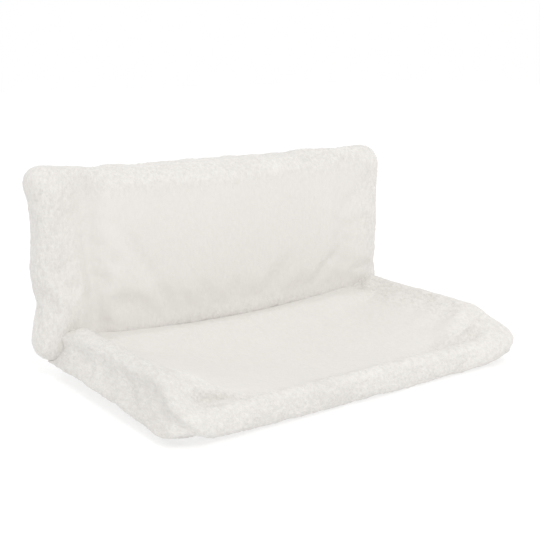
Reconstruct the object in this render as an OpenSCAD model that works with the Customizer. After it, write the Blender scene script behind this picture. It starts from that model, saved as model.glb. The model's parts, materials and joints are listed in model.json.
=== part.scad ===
// Radiator bed for a small pet: a plush cover on a tube frame that hangs from a radiator by two hooks.
// The belly of the seat lies on z = 0, the cushion's rear panel faces +Y and the front roll faces -Y.

/* [Back cushion] */
// Width across the back cushion
bed_w = 460; // [420:1:520]
// Thickness of the back cushion at its edges
back_t = 46; // [44:1:60]
// Height of the back cushion from its foot to its top
back_h = 197; // [186:1:236]
// Height of the back cushion's foot above the belly
foot_z = 20; // [18:1:26]
// Width of the rounded edge that frames the front of the back cushion
back_edge = 26; // [18:1:32]
// How far the middle of the back cushion swells out
back_crown = 3; // [0:0.5:6]
// Distance from the middle to each upright valley in the plush
valley_x = 165; // [140:1:170]
// Depth of each valley
valley_depth = 6; // [0:0.5:8]
// Thickness of the plush cloth with its pile
plush_t = 4; // [3:0.25:5]
// Thickness of the padded rear panel
rear_panel_t = 8; // [8:0.25:10]

/* [Seat] */
// Distance from the rear face to the middle of the front roll
roll_y = 265; // [245:1:300]
// Radius of the front roll
roll_r = 14; // [13:0.25:18]
// Height of the front roll's foot above the belly
roll_lift = 0.4; // [0.2:0.1:3]
// Height of the ridges over the seat rails at their middle
rail_z = 46; // [45:0.5:52]
// How far the side walls flare out beyond the rails at the rear
flare_rear = 28; // [14:0.5:30]
// How far the side walls flare out beyond the rails at the front
flare_front = 20; // [14:0.5:26]
// How far the cloth fills the two front corners out past the bar
corner_fill = 14; // [4:0.5:16]
// Height of the plush at the lowest point of the hammock
hammock_z = 12; // [9:0.5:20]
// Thickness of the cloth under the seat
under_t = 3; // [2:0.25:4]
// Width of the flat part of the belly
belly_w = 300; // [200:1:310]

/* [Tube frame] */
// Outer radius of the back frame's tube
upright_r = 6; // [6:0.25:8]
// Outer radius of the rails, the front bar and the cross bars
rail_r = 5; // [5:0.25:6]
// Wall of every tube
tube_wall = 1; // [0.8:0.1:1.5]
// Distance from the cushion's sides to the middle of each upright and each seat rail
rail_inset = 33; // [30:1:40]
// Height of the top bar's middle below the top of the cushion
top_bar_drop = 17; // [16:0.5:24]
// Bend radius of the back frame's upper corners
top_bend_r = 30; // [20:1:40]
// Height of the lower cross bar above the cushion's foot
lower_bar_rise = 72; // [70:1:80]
// Height of the arms' underside above the middle cross bar
middle_bar_drop = 20; // [18:1:40]
// Where each seat rail ends and the front bar goes in
joint_y = 150; // [120:1:180]
// How far the front bar's necked ends go into the rails
neck_l = 22; // [15:1:30]
// Distance from the front roll's middle back to where the front bar starts to bend down
bend_run = 47; // [44:0.5:58]
// Bend radius where the front bar turns down
bend_r = 24; // [20:1:28]
// Bend radius of the front bar's two corners
corner_r = 26; // [24:1:30]

/* [Hooks] */
// Distance from the cushion's sides to the middle of each hanging arm
arm_inset = 80; // [80:1:110]
// Width of the steel strip of the arms and hooks
strip_w = 25; // [20:0.5:30]
// Thickness of the steel strip
strip_t = 3; // [2.5:0.1:3.5]
// Height of the top of the cushion above the arms' underside
arm_drop = 47; // [45:1:52]
// Thickness of the soft pads under the arms
pad_t = 1.5; // [1.5:0.1:2.5]
// Shallowest radiator that the hooks reach round
grip_depth = 63; // [63:1:80]
// Length of the hooks' drop legs
drop_l = 60; // [40:1:80]
// Radius of the clamp screws
clamp_r = 3; // [2.5:0.25:3]
// Rise of a wing nut in one turn
clamp_pitch = 1; // [0.8:0.05:1.25]

/* [Rear opening] */
// Height of the zip above the belly
zip_z = 62; // [55:1:68]
// Distance from the cushion's sides to each end of the zip
zip_inset = 28; // [25:1:80]
// Height of the gap in the rear panel that the zip fills
zip_gap = 16; // [14:0.5:20]

/* [Hidden] */
$fn = 48;

// Overrun of every cut past the surface that it leaves
cut = 1;
// Gap between soft pieces, and between a soft piece and what it covers
soft_gap = 0.3;
// Gap between two steel pieces that are bolted or welded together
join_gap = 0.1;
// Gap between steel pieces that slide flat on each other
slide_gap = 0.2;
// Radial play of a tube or a neck in its socket
socket_play = 0.1;
// Radial play of a piece that turns or slides on a screw or a pin
running_play = 0.08;
// Looseness of the plush round the rails and the front roll
cover_play = 2.5;
// Looseness of the plush round the foam on the front bar
sleeve_play = 0.5;
// Play between the side walls and the back cushion that they end on
wall_play = 1.4;

// Layers of the back cushion, counted forward from its rear face
bolt_room = 4;
arm_y = rear_panel_t + soft_gap + bolt_room;
frame_y = arm_y + strip_t + join_gap + rail_r;
top_z = foot_z + back_h;
top_bar_z = top_z - top_bar_drop;
arm_z = top_z - arm_drop;
middle_bar_z = arm_z - middle_bar_drop;
lower_bar_z = foot_z + lower_bar_rise;
rail_x = bed_w / 2 - rail_inset;

// Bolts that hold the arms to the cross bars
bolt_r = 2.5;
bolt_hole_r = bolt_r + running_play;
bolt_head_r = 4.75;
bolt_head_h = 3;
nut_r = 4.6;
nut_h = 4;
bolt_end = 2;
bolt_nut_y = frame_y + rail_r + join_gap;

// Nylon connectors at the lower corners of the back frame
socket_wall = 3.4;
socket_top_z = 82;
socket_floor = 4;
upright_foot_z = rail_z + rail_r + socket_floor + socket_play;
socket_foot_z = rail_z - rail_r - socket_floor;
socket_setback = 4.7;
socket_front_y = back_t - plush_t - socket_setback;
rail_end_y = frame_y - rail_r / 2;
frame_screw_r = 1.75;
frame_screw_head_r = 3.5;
frame_screw_head_h = 2;
frame_screw_l = 9;
upright_screw_z = (upright_foot_z + socket_top_z) / 2;
rail_screw_y = (frame_y + upright_r + socket_wall + socket_front_y) / 2;

// The path of the front bar: it turns down by the angle that brings it from the rails to the roll
roll_z = roll_r + roll_lift;
roll_foot_z = roll_lift;
bend_y = roll_y - bend_run;
bend_rise = bend_r - (rail_z - roll_z);
bend_angle = asin(bend_r / norm([bend_run, bend_rise])) - atan2(bend_rise, bend_run);
bend_end_y = bend_y + bend_r * sin(bend_angle);
core_x = rail_x - corner_r;
core_y = roll_y - corner_r * cos(bend_angle);
tilted_l = (core_y - bend_end_y) / cos(bend_angle);
sleeve_r = roll_r - plush_t - sleeve_play;
sleeve_end = 4;
bar_sides = 16;
bar_bend_steps = 4;
bar_corner_steps = 8;

// How far the front bar has fallen at a distance from the rear face
function bar_fall(y) =
    let (s = y - bend_y)
    s <= 0 ? 0
    : s < bend_r * sin(bend_angle) ? bend_r - sqrt(pow(bend_r, 2) - pow(s, 2))
    : bend_r * (1 - cos(bend_angle)) + (y - bend_end_y) * tan(bend_angle);

seat_rear_y = back_t + soft_gap + back_crown / 6;
rear_hem_z = foot_z - max(under_t, plush_t) - soft_gap;
ridge_r = rail_r + cover_play + plush_t;

// Pieces of the hooks, from the radiator's top upwards
arm_top_z = arm_z + strip_t;
hook_z = arm_top_z + slide_gap;
hook_top_z = hook_z + strip_t;
washer_t = 1.6;
washer_r = 7;
washer_z = hook_top_z + slide_gap;
wing_z = washer_z + washer_t + slide_gap;
wing_hub_r = 6.5;
wing_hub_h = 7;
wing_t = 2.6;
wing_tip_r = 5.5;
wing_reach = 12;
wing_rise = 9;
clamp_head_r = 6;
clamp_head_h = pad_t - slide_gap;
clamp_end = 1;
arm_end_gap = 3;
arm_x = bed_w / 2 - arm_inset;
arm_l = grip_depth - arm_end_gap;
clamp_y = arm_l - washer_r;
clamp_top_z = wing_z + wing_hub_h + clamp_end + clamp_pitch;
slot_r = clamp_r + slide_gap;
slot_margin = 6;
hook_front_y = 3.8;
hook_travel = clamp_y - hook_front_y - slot_r - slot_margin;
pad_end = 2;
pad_front_y = pad_end * 2;
pad_rear_y = clamp_y - clamp_head_r - pad_end;
cap_wall = 1.2;
cap_l = 14;
cap_play = 0.1;
slit_play = 0.8;
grommet_wall = 2;

// Zip: teeth, tapes, slider and pull tab
zip_l = bed_w - zip_inset * 2;
zip_y = 5.2;
teeth_h = 2.2;
teeth_t = 2.4;
teeth_gap = 1.8;
tape_t = 0.8;
slider_w = 9.4;
slider_l = 11;
slider_plate = 0.8;
slider_play = 0.3;
slider_flange = 1.2;
slider_post_l = 3;
slider_post_w = 1;
slider_rest = 3;
tab_pin_r = 0.6;
tab_knuckle_r = 1.2;
tab_ear = 1;
tab_w = 5;
tab_l = 17;
tab_t = 1;
tab_y = 1.5;
slider_front_y = zip_y + teeth_t / 2 + slider_play;
slider_rear_y = zip_y - teeth_t / 2 - slider_play;
slider_x = (zip_l - slider_l) / 2 - slider_rest;

// Reach of the whole part behind the rear face, for the origin under its middle
rear_reach = grip_depth + strip_t + cap_play + cap_wall;
front_reach = roll_y + roll_r;
origin_shift_y = (front_reach - rear_reach) / 2;

// Stations from the middle outwards, as shares of the part inside the rounded corners
back_x_shares = [0, 0.2, 0.42, 0.62, 0.76, 0.84, 0.92, 1];
back_z_shares = [0, 0.36, 0.7, 1];
seat_x_shares = [0, 0.22, 0.44, 0.66, 0.84, 1];
seat_y_shares = [0, 0.06, 0.16, 0.3, 0.46, 0.62, 0.78, 0.88, 0.94, 1];
corner_shares = [0.41, 1];

// The back cushion's edge, from the front face round to the rear: depth and inset, as shares
edge_depth_shares = [0.985, 0.9, 0.66, 0.36, 0.1, 0];
edge_inset_shares = [0.66, 0.28, 0.03, 0, 0.1, 0.27];
back_core_inset_share = 1.3;
ear_share = 0.16;
valley_width_share = 0.4;
valley_fade_share = 0.5;

// The seat cover round the ridge and the roll: angles of the rolled part, in degrees
roll_angles = [150, 115, 80, 46, 13];
roll_under_angles = [-20, -50, -80, -110];
foot_inset = 18;
hollow_share = 0.9;
hollow_height_share = 0.65;
shoulder_share = 0.78;
shoulder_height_share = 0.8;
wall_bulge_share = 0.45;
wall_foot_share = 0.85;
front_hem_share = 0.5;
hem_share = 0.45;
dish_power = 2.3;
dish_side_share = 0.55;
dish_front_share = 0.45;
dish_rear_share = 0.75;
hem_power = 3;
belly_margin = 36;

function mix(a, b, w) = a * (1 - w) + b * w;
function clamped(v, low, high) = max(low, min(high, v));
function spread(shares, core, extra) = concat([for (s = shares) s * core], [for (s = corner_shares) core + s * extra]);
function mirrored(half) = concat([for (i = [len(half) - 1:-1:1]) -half[i]], half);
function squeezed(v, core, extra, kept) = abs(v) <= core ? v : sign(v) * (core + (abs(v) - core) * kept / extra);

// Triangles of a grid of points, nx to a row
function grid_faces(nx, ny) = [
    for (j = [0:ny - 2])
        for (i = [0:nx - 2])
            for (f = [[0, 1, nx + 1], [0, nx + 1, nx]])
                [for (k = f) j * nx + i + k]
];
// Triangles between two rows of point numbers
function band_faces(a, b, closed) = [
    for (i = [0:len(a) - (closed ? 1 : 2)])
        let (n = (i + 1) % len(a))
            for (f = [[a[i], b[i], b[n]], [a[i], b[n], a[n]]])
                f
];

// A sheet of cloth: the same net of faces on both its sides, joined along its edge
module cloth(side, other_side, faces, edge) {
    n = len(side);
    polyhedron(
        points = concat(side, other_side),
        faces = concat(
            faces,
            [for (f = faces) [f[2] + n, f[1] + n, f[0] + n]],
            band_faces(edge, [for (e = edge) e + n], true)
        )
    );
}

// Places its children with their X, Y and Z along three directions
module aimed(x, y, z) {
    multmatrix([
        [x[0], y[0], z[0], 0],
        [x[1], y[1], z[1], 0],
        [x[2], y[2], z[2], 0],
        [0, 0, 0, 1]
    ])
        children();
}

// Puts everything over the origin
module placed() {
    translate([0, origin_shift_y, 0])
        children();
}

module sided(side) {
    if (side < 0)
        mirror([1, 0, 0])
            children();
    else
        children();
}

module ring(r, wall) {
    difference() {
        circle(r);
        circle(r - wall);
    }
}

module straight_tube(r, wall, l) {
    linear_extrude(l)
        ring(r, wall);
}

module bent_tube(r, wall, bend, angle) {
    rotate_extrude(angle = angle)
        translate([bend, 0])
            ring(r, wall);
}

// A straight tube along X, centred
module cross_tube(r, wall, l) {
    translate([-l / 2, 0, 0])
        rotate([90, 0, 90])
            straight_tube(r, wall, l);
}

// A cylinder along Y that starts at a distance from the rear face and runs forward
module forward_rod(r, from, to) {
    translate([0, -from, 0])
        rotate([90, 0, 0])
            cylinder(r = r, h = to - from);
}

module arm_bolt_places() {
    for (x = [-arm_x, arm_x], z = [lower_bar_z, middle_bar_z])
        translate([x, 0, z])
            children();
}

module back_frame() {
    bend_x = rail_x - top_bend_r;
    bend_z = top_bar_z - top_bend_r;
    color("dimgray")
        placed()
            difference() {
                translate([0, -frame_y, 0])
                    union() {
                        translate([0, 0, top_bar_z])
                            cross_tube(upright_r, tube_wall, bend_x * 2);
                        for (side = [-1, 1])
                            sided(side) {
                                translate([rail_x, 0, upright_foot_z])
                                    straight_tube(upright_r, tube_wall, bend_z - upright_foot_z);
                                translate([bend_x, 0, bend_z])
                                    rotate([90, 0, 0])
                                        bent_tube(upright_r, tube_wall, top_bend_r, 90);
                            }
                    }
                frame_screw_places()
                    cylinder(r = frame_screw_r + running_play, h = frame_screw_l + cut);
            }
}

module cross_bar(z) {
    color("dimgray")
        placed()
            difference() {
                translate([0, -frame_y, z])
                    cross_tube(rail_r, tube_wall, rail_x * 2);
                for (x = [-rail_x, rail_x])
                    translate([x, -frame_y, z - rail_r - cut])
                        cylinder(r = upright_r + join_gap, h = (rail_r + cut) * 2);
                arm_bolt_places()
                    forward_rod(bolt_hole_r, arm_y, bolt_nut_y + cut);
            }
}

module middle_cross_bar() {
    cross_bar(middle_bar_z);
}

module lower_cross_bar() {
    cross_bar(lower_bar_z);
}

// Each screw stands with its head's seat at the origin and its point along +Z
module frame_screw_places() {
    for (side = [-1, 1])
        sided(side) {
            translate([rail_x + upright_r + socket_wall + join_gap, -frame_y, upright_screw_z])
                rotate([0, -90, 0])
                    children();
            translate([rail_x + rail_r + socket_wall + join_gap, -rail_screw_y, rail_z])
                rotate([0, -90, 0])
                    children();
        }
}

module frame_screws() {
    color("silver")
        placed()
            frame_screw_places() {
                union() {
                    translate([0, 0, -frame_screw_head_h])
                        cylinder(r = frame_screw_head_r, h = frame_screw_head_h);
                    cylinder(r = frame_screw_r, h = frame_screw_l);
                }
            }
}

module corner_connector(side) {
    color("black")
        placed()
            difference() {
                sided(side)
                    difference() {
                        union() {
                            translate([rail_x, -frame_y, socket_foot_z])
                                cylinder(r = upright_r + socket_wall, h = socket_top_z - socket_foot_z);
                            translate([rail_x, 0, rail_z])
                                forward_rod(rail_r + socket_wall, frame_y, socket_front_y);
                        }
                        translate([rail_x, -frame_y, upright_foot_z - socket_play])
                            cylinder(r = upright_r + socket_play, h = socket_top_z);
                        translate([rail_x, 0, rail_z])
                            forward_rod(rail_r + socket_play, rail_end_y - socket_play, socket_front_y + cut);
                    }
                frame_screw_places()
                    cylinder(r = frame_screw_r + running_play, h = frame_screw_l + cut);
            }
}

module left_corner_connector() {
    corner_connector(-1);
}

module right_corner_connector() {
    corner_connector(1);
}

module seat_rail(side) {
    color("dimgray")
        placed()
            difference() {
                sided(side)
                    translate([rail_x, -rail_end_y, rail_z])
                        rotate([90, 0, 0])
                            straight_tube(rail_r, tube_wall, joint_y - rail_end_y);
                frame_screw_places()
                    cylinder(r = frame_screw_r + running_play, h = frame_screw_l + cut);
            }
}

module left_seat_rail() {
    seat_rail(-1);
}

module right_seat_rail() {
    seat_rail(1);
}

// Stations along the front bar from its neck to the middle, on the +X side:
// centre, outward direction, upward direction, outer radius and inner radius
function front_bar_half() =
    let (
        neck_r = rail_r - tube_wall - socket_play,
        bore_r = rail_r - tube_wall,
        ahead = [1, 0, 0],
        fall = [0, -cos(bend_angle), -sin(bend_angle)],
        rise = [0, -sin(bend_angle), cos(bend_angle)],
        corner = [core_x, -core_y, rail_z - bar_fall(core_y)]
    )
    concat(
        [
            for (s = [[-neck_l, neck_r], [0, neck_r], [tube_wall, rail_r]])
                [[rail_x, -joint_y - s[0], rail_z], ahead, [0, 0, 1], s[1], s[1] - tube_wall]
        ],
        [
            for (k = [0:bar_bend_steps])
                let (a = bend_angle * k / bar_bend_steps)
                [
                    [rail_x, -bend_y - bend_r * sin(a), rail_z - bend_r * (1 - cos(a))],
                    ahead, [0, -sin(a), cos(a)], rail_r, bore_r
                ]
        ],
        [
            for (k = [0:bar_corner_steps])
                let (c = 90 * k / bar_corner_steps, out = ahead * cos(c) + fall * sin(c))
                    [corner + out * corner_r, out, rise, rail_r, bore_r]
        ]
    );

function flipped(p) = [-p[0], p[1], p[2]];

function bar_ring(s, r) = [
    for (i = [0:bar_sides - 1])
        let (a = 360 * i / bar_sides)
            s[0] + (s[1] * cos(a) + s[2] * sin(a)) * r
];

// The front bar is one bent tube, whose necked ends go into the seat rails
module front_bar() {
    half = front_bar_half();
    other = [for (k = [len(half) - 1:-1:0]) let (s = half[k]) [flipped(s[0]), flipped(s[1]), s[2], s[3], s[4]]];
    stations = concat(half, other);
    count = len(stations);
    outer = [for (k = [0:count - 1]) [for (i = [0:bar_sides - 1]) k * bar_sides + i]];
    inner = [for (row = outer) [for (i = row) i + count * bar_sides]];
    color("dimgray")
        placed()
            polyhedron(
                points = concat(
                    [for (s = stations) each bar_ring(s, s[3])],
                    [for (s = stations) each bar_ring(s, s[4])]
                ),
                faces = concat(
                    [for (k = [0:count - 2]) each band_faces(outer[k], outer[k + 1], true)],
                    [for (k = [0:count - 2]) each band_faces(inner[k + 1], inner[k], true)],
                    band_faces(outer[count - 1], inner[count - 1], true),
                    band_faces(inner[0], outer[0], true)
                )
            );
}

module front_foam_sleeve() {
    color("lightgray")
        placed()
            translate([0, -roll_y, roll_z])
                cross_tube(sleeve_r, sleeve_r - rail_r - socket_play, (core_x - sleeve_end) * 2);
}

module hanging_arm(side) {
    color("dimgray")
        placed()
            difference() {
                sided(side)
                    translate([arm_x - strip_w / 2, 0, 0]) {
                        translate([0, -arm_y - strip_t, lower_bar_z - strip_w / 2])
                            cube([strip_w, strip_t, arm_top_z - lower_bar_z + strip_w / 2]);
                        translate([0, -arm_y - strip_t, arm_z])
                            cube([strip_w, arm_y + strip_t + arm_l, strip_t]);
                    }
                arm_bolt_places()
                    forward_rod(bolt_hole_r, arm_y - cut, frame_y);
                clamp_places()
                    translate([0, 0, arm_z - cut])
                        cylinder(r = slot_r, h = strip_t + cut * 2);
            }
}

module left_hanging_arm() {
    hanging_arm(-1);
}

module right_hanging_arm() {
    hanging_arm(1);
}

module arm_bolts() {
    color("silver")
        placed()
            arm_bolt_places() {
                union() {
                    forward_rod(bolt_head_r, arm_y - bolt_head_h, arm_y);
                    forward_rod(bolt_r, arm_y - bolt_head_h, bolt_nut_y + nut_h + bolt_end);
                }
            }
}

module arm_nuts() {
    color("silver")
        placed()
            arm_bolt_places()
                difference() {
                    translate([0, -bolt_nut_y, 0])
                        rotate([90, 0, 0])
                            cylinder(r = nut_r, h = nut_h, $fn = 6);
                    forward_rod(bolt_hole_r, bolt_nut_y - cut, bolt_nut_y + nut_h + cut);
                }
}

module clamp_places() {
    for (x = [-arm_x, arm_x])
        translate([x, clamp_y, 0])
            children();
}

module arm_pad(side) {
    color("black")
        placed()
            sided(side)
                translate([arm_x - strip_w / 2, pad_front_y, arm_z - pad_t])
                    cube([strip_w, pad_rear_y - pad_front_y, pad_t]);
}

module left_arm_pad() {
    arm_pad(-1);
}

module right_arm_pad() {
    arm_pad(1);
}

module clamp_screw(side) {
    color("silver")
        placed()
            translate([side * arm_x, clamp_y, 0]) {
                translate([0, 0, arm_z - clamp_head_h])
                    cylinder(r = clamp_head_r, h = clamp_head_h);
                translate([0, 0, arm_z - clamp_head_h])
                    cylinder(r = clamp_r, h = clamp_top_z - arm_z + clamp_head_h);
            }
}

module left_clamp_screw() {
    clamp_screw(-1);
}

module right_clamp_screw() {
    clamp_screw(1);
}

// A strip bent down behind the radiator, with a slot along its top
module hook(side) {
    color("dimgray")
        placed()
            translate([side * arm_x - strip_w / 2, 0, 0])
                difference() {
                    union() {
                        translate([0, hook_front_y, hook_z])
                            cube([strip_w, grip_depth + strip_t - hook_front_y, strip_t]);
                        translate([0, grip_depth, hook_top_z - drop_l])
                            cube([strip_w, strip_t, drop_l]);
                    }
                    translate([strip_w / 2, clamp_y, hook_z - cut]) {
                        for (y = [-hook_travel, 0])
                            translate([0, y, 0])
                                cylinder(r = slot_r, h = strip_t + cut * 2);
                        translate([-slot_r, -hook_travel, 0])
                            cube([slot_r * 2, hook_travel, strip_t + cut * 2]);
                    }
                }
}

module left_hook() {
    hook(-1);
}

module right_hook() {
    hook(1);
}

module hook_cap(side) {
    inner_w = strip_w + cap_play * 2;
    inner_t = strip_t + cap_play * 2;
    color("black")
        placed()
            translate([side * arm_x, grip_depth + strip_t / 2, hook_top_z - drop_l - cap_play])
                difference() {
                    translate([-inner_w / 2 - cap_wall, -inner_t / 2 - cap_wall, -cap_wall])
                        cube([inner_w + cap_wall * 2, inner_t + cap_wall * 2, cap_l]);
                    translate([-inner_w / 2, -inner_t / 2, 0])
                        cube([inner_w, inner_t, cap_l]);
                }
}

module left_hook_cap() {
    hook_cap(-1);
}

module right_hook_cap() {
    hook_cap(1);
}

module clamp_washer(side) {
    color("silver")
        placed()
            translate([side * arm_x, clamp_y, washer_z])
                difference() {
                    cylinder(r = washer_r, h = washer_t);
                    translate([0, 0, -cut])
                        cylinder(r = clamp_r + running_play, h = washer_t + cut * 2);
                }
}

module left_clamp_washer() {
    clamp_washer(-1);
}

module right_clamp_washer() {
    clamp_washer(1);
}

module wing_nut(side) {
    color("silver")
        placed()
            translate([side * arm_x, clamp_y, wing_z])
                difference() {
                    union() {
                        cylinder(r = wing_hub_r, h = wing_hub_h);
                        for (turn = [0, 180])
                            rotate([90, 0, turn])
                                translate([0, 0, -wing_t / 2])
                                    linear_extrude(wing_t) {
                                        translate([wing_reach, wing_rise])
                                            circle(wing_tip_r);
                                        polygon([
                                            [wing_hub_r / 2, 0],
                                            [wing_hub_r, 0],
                                            [wing_reach + wing_tip_r, wing_rise],
                                            [wing_reach - wing_tip_r, wing_rise],
                                            [wing_hub_r / 2, wing_hub_h]
                                        ]);
                                    }
                    }
                    translate([0, 0, -cut])
                        cylinder(r = clamp_r + running_play, h = wing_hub_h + wing_rise + wing_tip_r + cut * 2);
                }
}

module left_wing_nut() {
    wing_nut(-1);
}

module right_wing_nut() {
    wing_nut(1);
}

module back_foam_pad() {
    pad_front = back_t - plush_t - valley_depth - soft_gap;
    pad_rear = frame_y + upright_r + soft_gap;
    pad_x = rail_x - upright_r - socket_wall - soft_gap;
    pad_foot_z = foot_z + back_edge;
    pad_top_z = top_z - back_edge;
    color("whitesmoke")
        placed()
            difference() {
                translate([-pad_x, -pad_front, pad_foot_z])
                    cube([pad_x * 2, pad_front - pad_rear, pad_top_z - pad_foot_z]);
                arm_bolt_places()
                    forward_rod(nut_r + soft_gap, pad_rear - cut, bolt_nut_y + nut_h + bolt_end + soft_gap);
            }
}

// The back cushion's outline: a core with rounded corners round it
back_core_inset = back_edge * back_core_inset_share;
back_core_x = bed_w / 2 - back_core_inset;
back_core_z = back_h / 2 - back_core_inset;
back_mid_z = foot_z + back_h / 2;
back_xs = mirrored(spread(back_x_shares, back_core_x, back_core_inset));
back_zs = mirrored(spread(back_z_shares, back_core_z, back_core_inset));

function back_core(p) = [clamped(p[0], -back_core_x, back_core_x), clamped(p[1], -back_core_z, back_core_z)];
function back_way(p) = let (d = p - back_core(p)) d / norm(d);
function back_ear(n) = 1 + ear_share * pow(2 * n[0] * n[1], 2);
function back_round(p, inset) =
    let (n = back_way(p))
    back_core(p) + n * (back_core_inset - inset) * back_ear(n);

// Depth of the front face, with its crown and its two upright valleys
function back_front(x, z) =
    let (
        across = clamped(1 - pow(x / (bed_w / 2), 2), 0, 1),
        upright = clamped(1 - pow(z / (back_h / 2), 2), 0, 1),
        away = (abs(x) - valley_x) / (back_edge * valley_width_share),
        valley = valley_depth * exp(-pow(away, 2)) * mix(valley_fade_share, 1, upright)
    )
    back_t + back_crown * across * upright - valley;

function back_grid_point(p, on_border, t) =
    let (
        kept = back_core_inset - back_edge - t,
        q = on_border
            ? back_round(p, back_edge + t)
            : [squeezed(p[0], back_core_x, back_core_inset, kept), squeezed(p[1], back_core_z, back_core_inset, kept)]
    )
    [q[0], -(back_front(q[0], q[1]) - t), back_mid_z + q[1]];

function back_edge_point(p, k, t) =
    let (q = back_round(p, back_edge * edge_inset_shares[k] + t))
    [q[0], -(back_t - t) * edge_depth_shares[k], back_mid_z + q[1]];

function back_border() =
    let (nx = len(back_xs), nz = len(back_zs))
    concat(
        [for (i = [0:nx - 1]) [i, 0]],
        [for (j = [1:nz - 1]) [nx - 1, j]],
        [for (i = [nx - 2:-1:0]) [i, nz - 1]],
        [for (j = [nz - 2:-1:1]) [0, j]]
    );

function back_points(t) =
    let (nx = len(back_xs), nz = len(back_zs), border = back_border())
    concat(
        [
            for (j = [0:nz - 1])
                for (i = [0:nx - 1])
                    back_grid_point(
                        [back_xs[i], back_zs[j]],
                        i == 0 || i == nx - 1 || j == 0 || j == nz - 1,
                        t
                    )
        ],
        [
            for (k = [0:len(edge_depth_shares) - 1])
                for (b = border)
                    back_edge_point([back_xs[b[0]], back_zs[b[1]]], k, t)
        ]
    );

module back_plush_cover() {
    nx = len(back_xs);
    nz = len(back_zs);
    border = back_border();
    count = len(border);
    rows = concat(
        [[for (b = border) b[1] * nx + b[0]]],
        [for (k = [0:len(edge_depth_shares) - 1]) [for (s = [0:count - 1]) nx * nz + k * count + s]]
    );
    faces = concat(
        grid_faces(nx, nz),
        [for (k = [0:len(rows) - 2]) each band_faces(rows[k], rows[k + 1], true)]
    );
    hole_r = rail_r + cover_play;
    color("white")
        placed()
            difference() {
                cloth(back_points(plush_t), back_points(0), faces, rows[len(rows) - 1]);
                for (x = [-rail_x, rail_x])
                    translate([x, plush_t * 2 - back_t, rail_z])
                        rotate([90, 0, 0])
                            cylinder(r = hole_r, h = plush_t * 3, $fn = 12);
            }
}

// The flat panel against the radiator, inside the plush cover's rear rim
module rear_outline() {
    inset = back_edge * edge_inset_shares[len(edge_inset_shares) - 1] + plush_t + soft_gap;
    polygon([
        for (b = back_border())
            back_round([back_xs[b[0]], back_zs[b[1]]], inset)
    ]);
}

module slit_hole(margin) {
    size = [strip_w + (slit_play + margin) * 2, strip_t + (slit_play + margin) * 2];
    for (x = [-arm_x, arm_x])
        translate([x - size[0] / 2, -rear_panel_t - cut, arm_z + strip_t / 2 - size[1] / 2])
            cube([size[0], rear_panel_t + cut * 2, size[1]]);
}

module back_rear_panel() {
    color("lightgray")
        placed()
            difference() {
                translate([0, 0, back_mid_z])
                    rotate([90, 0, 0])
                        linear_extrude(rear_panel_t)
                            rear_outline();
                slit_hole(grommet_wall + join_gap);
                translate([-zip_l / 2, -rear_panel_t - cut, zip_z - zip_gap / 2])
                    cube([zip_l, rear_panel_t + cut * 2, zip_gap]);
            }
}

module slit_grommets() {
    color("black")
        placed()
            difference() {
                intersection() {
                    slit_hole(grommet_wall);
                    translate([-bed_w / 2, -rear_panel_t, 0])
                        cube([bed_w, rear_panel_t, top_z]);
                }
                slit_hole(0);
            }
}

// The seat: a net of stations, rear to front, whose rounded corners follow the front bar
seat_xs = mirrored(spread(seat_x_shares, core_x, corner_r));
seat_ys = concat(
    [for (s = seat_y_shares) mix(seat_rear_y, core_y, s)],
    [for (s = corner_shares) mix(core_y, roll_y, s)]
);

function seat_core(p) = [clamped(p[0], -core_x, core_x), min(p[1], core_y)];
function seat_way(p) =
    let (d = p - seat_core(p), scaled = [d[0] / corner_r, d[1] / (roll_y - core_y)])
    scaled / norm(scaled);
function seat_bar(p) =
    let (n = seat_way(p))
    seat_core(p) + [n[0] * corner_r, n[1] * (roll_y - core_y)];
function hem_z(y) = mix(rear_hem_z, roll_foot_z, pow(clamped(y / roll_y, 0, 1), hem_power));
// The cloth fills the corners out past the bar
function filled(r, n, t) = r + corner_fill * pow(2 * n[0] * n[1], 2) * clamped(r / (roll_r - t), 0, 1);
function seat_bulk(y) = mix(flare_rear, flare_front, clamped(y / roll_y, 0, 1));

// Height of the plush inside the ridges and the roll
function dish_z(x, y) =
    let (
        side = pow(clamped(abs(x) / (rail_x - foot_inset), 0, 1), dish_power),
        middle_y = (seat_rear_y + roll_y) / 2,
        half_y = (roll_y - foot_inset) - middle_y,
        front = pow(clamped((y - middle_y) / half_y, 0, 1), dish_power),
        rear = pow(clamped((middle_y - y) / half_y, 0, 1), dish_power),
        side_z = rail_z - bar_fall(y) + ridge_r * dish_side_share,
        front_z = roll_z + roll_r * dish_front_share,
        rear_z = rail_z * dish_rear_share,
        lift = 1 - (1 - side) * (1 - front) * (1 - rear),
        total = side + front + rear,
        edge = total == 0 ? hammock_z : (side * side_z + front * front_z + rear * rear_z) / total
    )
    mix(hammock_z, edge, lift);

// Where the side walls end at the rear, on the rounded edge of the back cushion
function seat_rear(x, z) =
    let (
        p = [x, z - back_mid_z],
        out = p - back_core(p),
        inset = norm(out) == 0 ? back_edge : back_core_inset - norm(out) / back_ear(out / norm(out)),
        on_edge = [for (k = [2:-1:0]) [edge_inset_shares[k] * back_edge, edge_depth_shares[k] * back_t]]
    )
    inset >= back_edge * edge_inset_shares[0] ? seat_rear_y : lookup(max(inset, 0), on_edge) + wall_play;

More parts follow.
